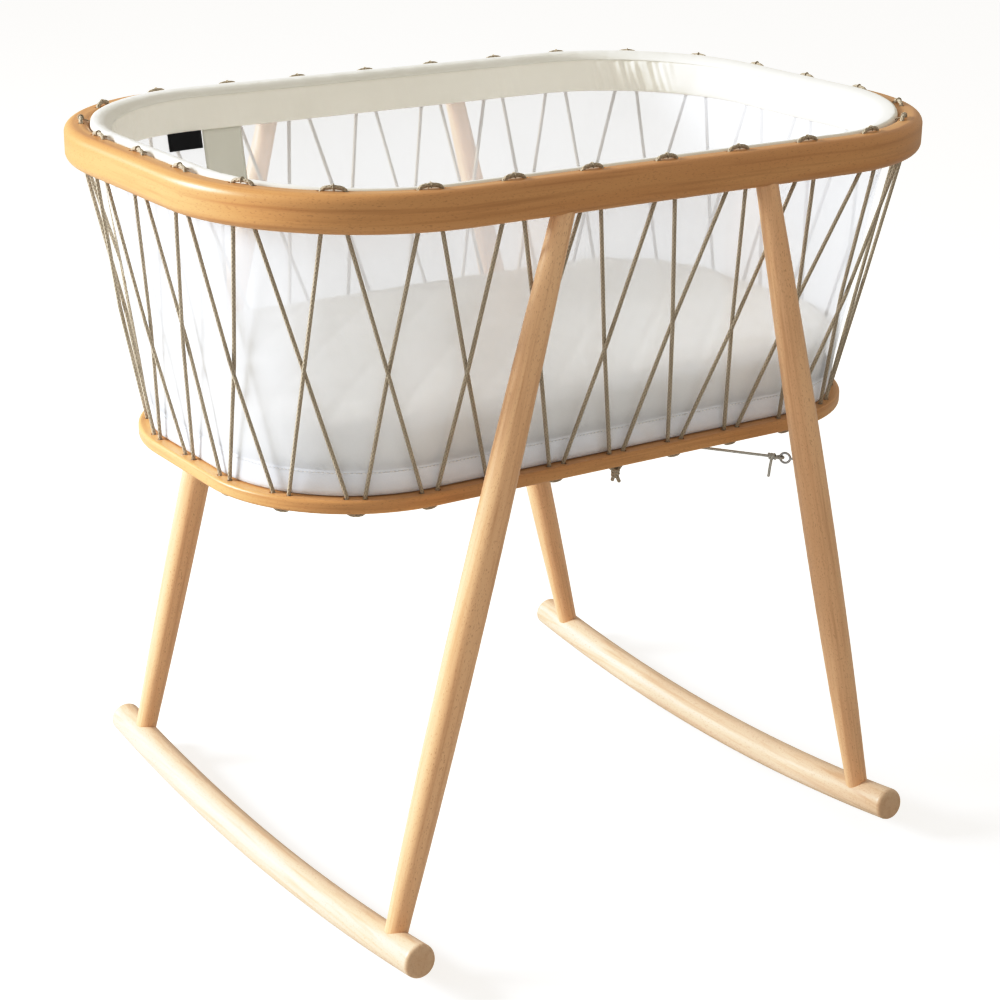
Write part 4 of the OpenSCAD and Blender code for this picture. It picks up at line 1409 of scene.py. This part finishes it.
    def build(self) -> None:
        """Makes every piece of the liner."""
        # The sheer, cream and binding cloths get a little painted glow (through): steady emission in
        # their own colour that lifts their shade.
        sheer = Cloth("sheer_mesh", (0.91, 0.925, 0.96), (0.86, 0.88, 0.92), pitch=0.9,
                      sheen=0.0, alpha=0.27, open_work=0.14, through=0.10).build()
        tape = Cloth("white_tape", (0.88, 0.88, 0.89), (0.80, 0.80, 0.82), pitch=0.5).build()
        cotton = Cloth("white_cotton", (0.86, 0.86, 0.85), (0.78, 0.78, 0.77)).build()
        cream = Cloth("cream_cotton", (0.80, 0.775, 0.70), (0.74, 0.71, 0.63), relief=0.00012,
                      through=0.13).build()
        edge = Cloth("cream_binding", (0.76, 0.74, 0.68), (0.69, 0.67, 0.60), pitch=0.45,
                     through=0.10).build()
        thread = CordFinish("liner_thread", (0.80, 0.77, 0.69), (0.52, 0.49, 0.42), Lay.TWIST).build()
        looping = CordFinish("loop_cord", (0.60, 0.52, 0.40), (0.42, 0.35, 0.25), Lay.TWIST).build()

        rim = self.rim()
        self.own(rim, "cream_cotton", cream, "padded_rim")

        wall = self.sheer_wall()
        self.own(wall, "sheer_mesh", sheer, "liner_mesh")
        self.finish_sheet(wall, self.mesh_t)
        girth = self.wall(590).length

        hem = self.hem()
        self.own(hem, "white_tape", tape, "liner_hem")
        self.finish_sheet(hem, 0.5)

        floor = self.floor()
        self.own(floor, "white_cotton", cotton, "liner_floor")
        self.finish_sheet(floor, 0.8)

        binding = self.binding()
        self.own(binding, "cream_binding", edge, "liner_binding")
        self.finish_sheet(binding, 0.9)

        loops = self.loops()
        self.own(loops, "cream_binding", looping, "liner_loops")

        hoop = self.sizes.hoop
        rows = [
            self.seam(hoop, self.rim_outer - 4.2, self.top_z - 0.15, (0.12, 1.0)),
            self.seam(hoop, self.rim_inner + 3.0, self.top_z - self.rim_fall + 0.35, (-0.35, 1.0)),
        ]
        self.own(self.seams("rim_stitches", rows), "cream_binding", thread)
        hem_line = self.wall(self.hem_top - 2.5)
        self.own(self.seams("hem_stitches", [self.seam(hem_line, 0.0, self.hem_top - 2.5, (1.0, 0.1))]),
                 "white_tape", thread)

        black = Cloth("black_label", (0.018, 0.018, 0.019), (0.008, 0.008, 0.009), pitch=0.35,
                      sheen=0.1).build()
        pale = Cloth("pale_label", (0.80, 0.79, 0.72), (0.70, 0.69, 0.62), pitch=0.3).build()
        for name, at, wide, drop, curl, slot, finish in (
                ("small_tag", 233, 41, 18, 0.6, "black_label", black),
                ("care_tag", 188, 46, 62, 2.5, "pale_label", pale)):
            tag = self.label(name, at, wide, drop, curl)
            node = "small_label" if name == "small_tag" else "care_label"
            self.own(tag, slot, finish, node)
            self.finish_sheet(tag, 0.4)


# ------------------------------------------------------------------ mattress

@dataclass
class Mattress:
    """Quilted mattress: a soft slab, swelled by cloth simulation and then quilted."""

    bottom_z: float = 460.6
    top_z: float = 540.6
    gap: float = 4.2
    voxel: float = 7.0
    cap: float = 4.0
    start_in: float = 3.5
    quilt_pitch: float = 62.0
    channel_wide: float = 3.4
    channel_deep: float = 1.1
    crown_high: float = 1.6
    cloth_frames: int = 16
    pressure: float = 4.0
    seed_columns: int = 220

    def slab(self, liner: Liner) -> bpy.types.Object:
        """Closed slab that follows the wall: outlines from the bottom's middle line round the
        edges to the top's middle line.

        Args:
            liner: the liner, whose wall it follows.

        Returns:
            The slab.
        """
        low, high = self.bottom_z + self.start_in * 0.3, self.top_z - self.start_in
        edge = 9.0
        quarter = np.linspace(0, math.pi / 2, 5)
        steps = [(low, 60.0), (low, 24.0)]
        steps += [(low + edge * (1 - math.cos(a)), edge * (1 - math.sin(a)) * 0.8) for a in quarter]
        steps += [(z, 0.0) for z in np.linspace(low + edge + 8, high - edge - 8, 6)]
        steps += [(high - edge * (1 - math.sin(a)), edge * (1 - math.cos(a))) for a in quarter]
        steps += [(high, 24.0), (high, 60.0)]
        share = np.linspace(0, 1, self.seed_columns + 1)
        rows = []
        for z, inset in steps:
            outline = liner.wall(z).grown(-self.gap - self.start_in - inset)
            plan, _ = outline.at(share * outline.length)
            rows.append(np.concatenate([plan, np.full((len(share), 1), z)], -1))
        for row in (rows[0], rows[-1]):
            flat = row * np.array([1, 0, 1])
            rows = [flat] + rows if row is rows[0] else rows + [flat]
        grid = np.array(rows)
        return grid_mesh("mattress_pad", [grid], [grid[..., :2]])

    def remeshed(self, piece: bpy.types.Object) -> None:
        """Replaces the mesh by even quads of one voxel's size."""
        voxels = piece.modifiers.new("even", "REMESH")
        voxels.mode, voxels.voxel_size = "VOXEL", self.voxel * MM
        self.settle(piece)

    @staticmethod
    def settle(piece: bpy.types.Object) -> None:
        """Makes the modifiers' result the piece's own mesh."""
        graph = bpy.context.evaluated_depsgraph_get()
        mesh = bpy.data.meshes.new_from_object(piece.evaluated_get(graph))
        piece.modifiers.clear()
        old, piece.data = piece.data, mesh
        bpy.data.meshes.remove(old)
        mesh.name = piece.name

    def swell(self, piece: bpy.types.Object) -> None:
        """Swells the slab with cloth under pressure, each point's way held under the cap."""
        before = self.points(piece)
        cloth = piece.modifiers.new("cloth", "CLOTH")
        cloth.settings.quality = 5
        cloth.settings.use_pressure = True
        cloth.settings.uniform_pressure_force = self.pressure
        cloth.settings.tension_stiffness = 25
        cloth.settings.bending_stiffness = 4
        cloth.settings.effector_weights.gravity = 0
        scene = bpy.context.scene
        for number in range(1, self.cloth_frames + 1):
            scene.frame_set(number)
        self.settle(piece)
        scene.frame_set(1)
        after = self.points(piece)
        way = after - before
        far = np.linalg.norm(way, axis=1, keepdims=True)
        way *= np.minimum(1, self.cap / np.maximum(far, 1e-9))
        self.move(piece, before + way)

    @staticmethod
    def points(piece: bpy.types.Object) -> np.ndarray:
        """The mesh's points in mm."""
        co = np.zeros(len(piece.data.vertices) * 3)
        piece.data.vertices.foreach_get("co", co)
        return co.reshape(-1, 3) / MM

    @staticmethod
    def move(piece: bpy.types.Object, points: np.ndarray) -> None:
        """Sets the mesh's points, given in mm."""
        piece.data.vertices.foreach_set("co", (points * MM).ravel())
        piece.data.update()

    def quilted(self, piece: bpy.types.Object) -> None:
        """Sews the top: two sets of diagonal channels, and a low crown between them.

        A point's depth is the channel's depth times a bell curve of its distance to the nearest
        line of either set; the crown is its height times the squares of two cosines.
        """
        p = self.points(piece)
        top = rise(p[:, 2], self.top_z - 14, self.top_z - 5)
        u, v = (p[:, 0] + p[:, 1]) / math.sqrt(2), (p[:, 0] - p[:, 1]) / math.sqrt(2)
        away = [np.abs(np.mod(c, self.quilt_pitch) - self.quilt_pitch / 2) for c in (u, v)]
        groove = np.maximum(*[np.exp(-(d / self.channel_wide) ** 2) for d in away])
        turn = math.pi / self.quilt_pitch
        crown = (np.cos(turn * u) * np.cos(turn * v)) ** 2
        p[:, 2] += top * (self.crown_high * crown - self.channel_deep * groove)
        p[:, 2] = np.minimum(p[:, 2], self.top_z + 3)
        p[:, 2] = np.maximum(p[:, 2], self.bottom_z)
        self.move(piece, p)

    def mapped(self, piece: bpy.types.Object) -> None:
        """Gives the cloth its UV in mm: plan on top and below, distance round and height on
        the sides."""
        mesh = piece.data
        corners = np.zeros(len(mesh.loops), int)
        mesh.loops.foreach_get("vertex_index", corners)
        normals = np.zeros(len(mesh.vertices) * 3)
        mesh.vertices.foreach_get("normal", normals)
        p, n = self.points(piece)[corners], normals.reshape(-1, 3)[corners]
        side = np.abs(n[:, 2]) < 0.6
        uv = np.where(side[:, None], np.stack([p[:, 0] + p[:, 1], p[:, 2]], -1), p[:, :2])
        layer = mesh.uv_layers.new(name=UV_NAME)
        layer.data.foreach_set("uv", uv.ravel())

    def build(self, liner: Liner) -> None:
        """Makes the mattress."""
        piece = self.slab(liner)
        self.remeshed(piece)
        self.swell(piece)
        finer = piece.modifiers.new("finer", "SUBSURF")
        finer.levels = finer.render_levels = 1
        self.settle(piece)
        self.quilted(piece)
        self.mapped(piece)
        piece.data.shade_smooth()
        dress(piece, Cloth("mattress_cotton", (0.88, 0.85, 0.79), (0.83, 0.79, 0.72),
                           pitch=0.6, relief=0.00012).build())
        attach(piece, MATTRESS)
        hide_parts("mattress_cover", "mattress_core")
        log.info("mattress: %d faces", len(piece.data.polygons))


# ------------------------------------------------------------------ ties

@dataclass
class Ties:
    """Two ties that cross under the basket, each knotted to a screw eye at both ends."""

    sizes: FrameSizes = SIZES
    tie_d: float = 3.0
    heights: tuple[float, float] = (437.3, 433.9)
    eye_reach: float = 8.2
    eye_r: float = 5.2
    loop_r: float = 3.2
    knot_len: float = 9.0
    tail: float = 21.0

    def leg_point(self, z: float) -> np.ndarray:
        """Point on the axis of the leg at +X and +Y, at height z."""
        head, foot = np.array(self.sizes.leg_head), np.array(self.sizes.leg_foot)
        return foot + (head - foot) * (z - foot[2]) / (head[2] - foot[2])

    def leg_radius(self, z: float) -> float:
        """Radius of a leg at height z: its ends' mean, and a swelling like a bent sine."""
        s = self.sizes
        head, foot = np.array(s.leg_head), np.array(s.leg_foot)
        long = float(np.linalg.norm(head - foot))
        t = ((z - foot[2]) / (head[2] - foot[2]) * long - s.rod_r) / (long - s.rod_r)
        ends = s.leg_foot_d * (1 - t) + s.leg_top_d * t
        swell = (s.leg_mid_d - (s.leg_foot_d + s.leg_top_d) / 2) * math.sin(math.pi * t ** 0.92) ** 0.9
        return (ends + swell) / 2

    def ends(self, which: int) -> tuple[np.ndarray, np.ndarray]:
        """One tie's two ends.

        Args:
            which: 0 for the upper tie, 1 for the lower one.

        Returns:
            The eyes' foot points on the legs, and the directions from them to the middle.
        """
        z = self.heights[which]
        p = self.leg_point(z)
        signs = np.array([[-1, -1], [1, 1]] if which == 0 else [[1, -1], [-1, 1]])
        plan = signs * p[:2]
        way = -unit(plan)
        start = plan + (self.leg_radius(z) + 0.3) * way
        flat = np.zeros((2, 1))
        return np.concatenate([start, flat + z], -1), np.concatenate([way, flat], -1)

    def cord(self, which: int) -> tuple[np.ndarray, np.ndarray, np.ndarray]:
        """One tie between its knots, with a very small sag.

        Args:
            which: 0 for the upper tie, 1 for the lower one.

        Returns:
            Its path, and its tube's grid and UV.
        """
        start, way = self.ends(which)
        off = self.eye_reach + self.eye_r + self.loop_r + self.knot_len * 0.7
        a, b = start[0] + off * way[0], start[1] + off * way[1]
        t = np.linspace(0, 1, 60)[:, None]
        path = a + (b - a) * t
        path[:, 2] -= 1.2 * np.sin(math.pi * t[:, 0])
        grid, uv = tube(path, self.tie_d / 2, 10, np.array([0, 0, 1.0]))
        return path, grid, uv

    def knots(self) -> tuple[list[np.ndarray], list[np.ndarray]]:
        """For each end: a loop through the eye, a knot of turns round the cord, and a tail."""
        grids, uvs = [], []
        wire = self.tie_d / 2
        for which in (0, 1):
            for start, way in zip(*self.ends(which)):
                side = np.array([-way[1], way[0], 0])
                down = np.array([0, 0, -1.0])
                turn = np.linspace(0.35, TURN - 0.35, 22)
                middle = start + (self.eye_reach + self.eye_r) * way
                loop = (middle + self.loop_r * np.cos(turn)[:, None] * way
                        + self.loop_r * 0.95 * np.sin(turn)[:, None] * side)
                t = np.linspace(0, 1, 46)[:, None]
                wind = TURN * 2.7 * t
                head = start + (self.eye_reach + self.eye_r + self.loop_r + 0.4) * way
                coil = (head + self.knot_len * (0.08 + 0.84 * t) * way
                        + 2.1 * (np.cos(wind) * side + np.sin(wind) * down))
                bend = np.array([0, 0.15, 0.35, 0.6, 0.8, 1.0])[:, None]
                rope = (head + self.knot_len * 0.5 * way + 1.8 * side + self.tail * bend * down
                        + 4.0 * np.sin(math.pi * bend) ** 2 * side + 2.4 * bend ** 2 * way)
                for path, hint in ((loop, down), (coil, way), (evened(rope, 1.5, 3), side)):
                    grid, uv = tube(path, wire, 9, hint)
                    grids.append(grid)
                    uvs.append(uv)
        return grids, uvs

    def build(self) -> None:
        """Makes both ties and their knots."""
        finish = CordFinish("tie_cord", (0.78, 0.77, 0.73), (0.42, 0.41, 0.37), Lay.TWIST).build()
        knots = grid_mesh("tie_knots_tied", *self.knots())
        dress(knots, finish)
        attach(knots, CRADLE)
        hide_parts("tie_knots")
        for which, letter in enumerate("ab"):
            path, grid, uv = self.cord(which)
            tie = grid_mesh(f"tie_{letter}", [grid], [uv])
            dress(tie, finish)
            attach(tie, CRADLE)
            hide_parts(f"tie_cord_{letter}")


def main() -> None:
    """Builds everything in order."""
    logging.basicConfig(level=logging.INFO, format="%(name)s: %(message)s")
    Studio().build()
    Lacing().build()
    Ties().build()
    Woodwork().build()
    Hardware().build()
    liner = Liner()
    liner.build()
    Mattress().build(liner)


if __name__ == "__main__":
    main()
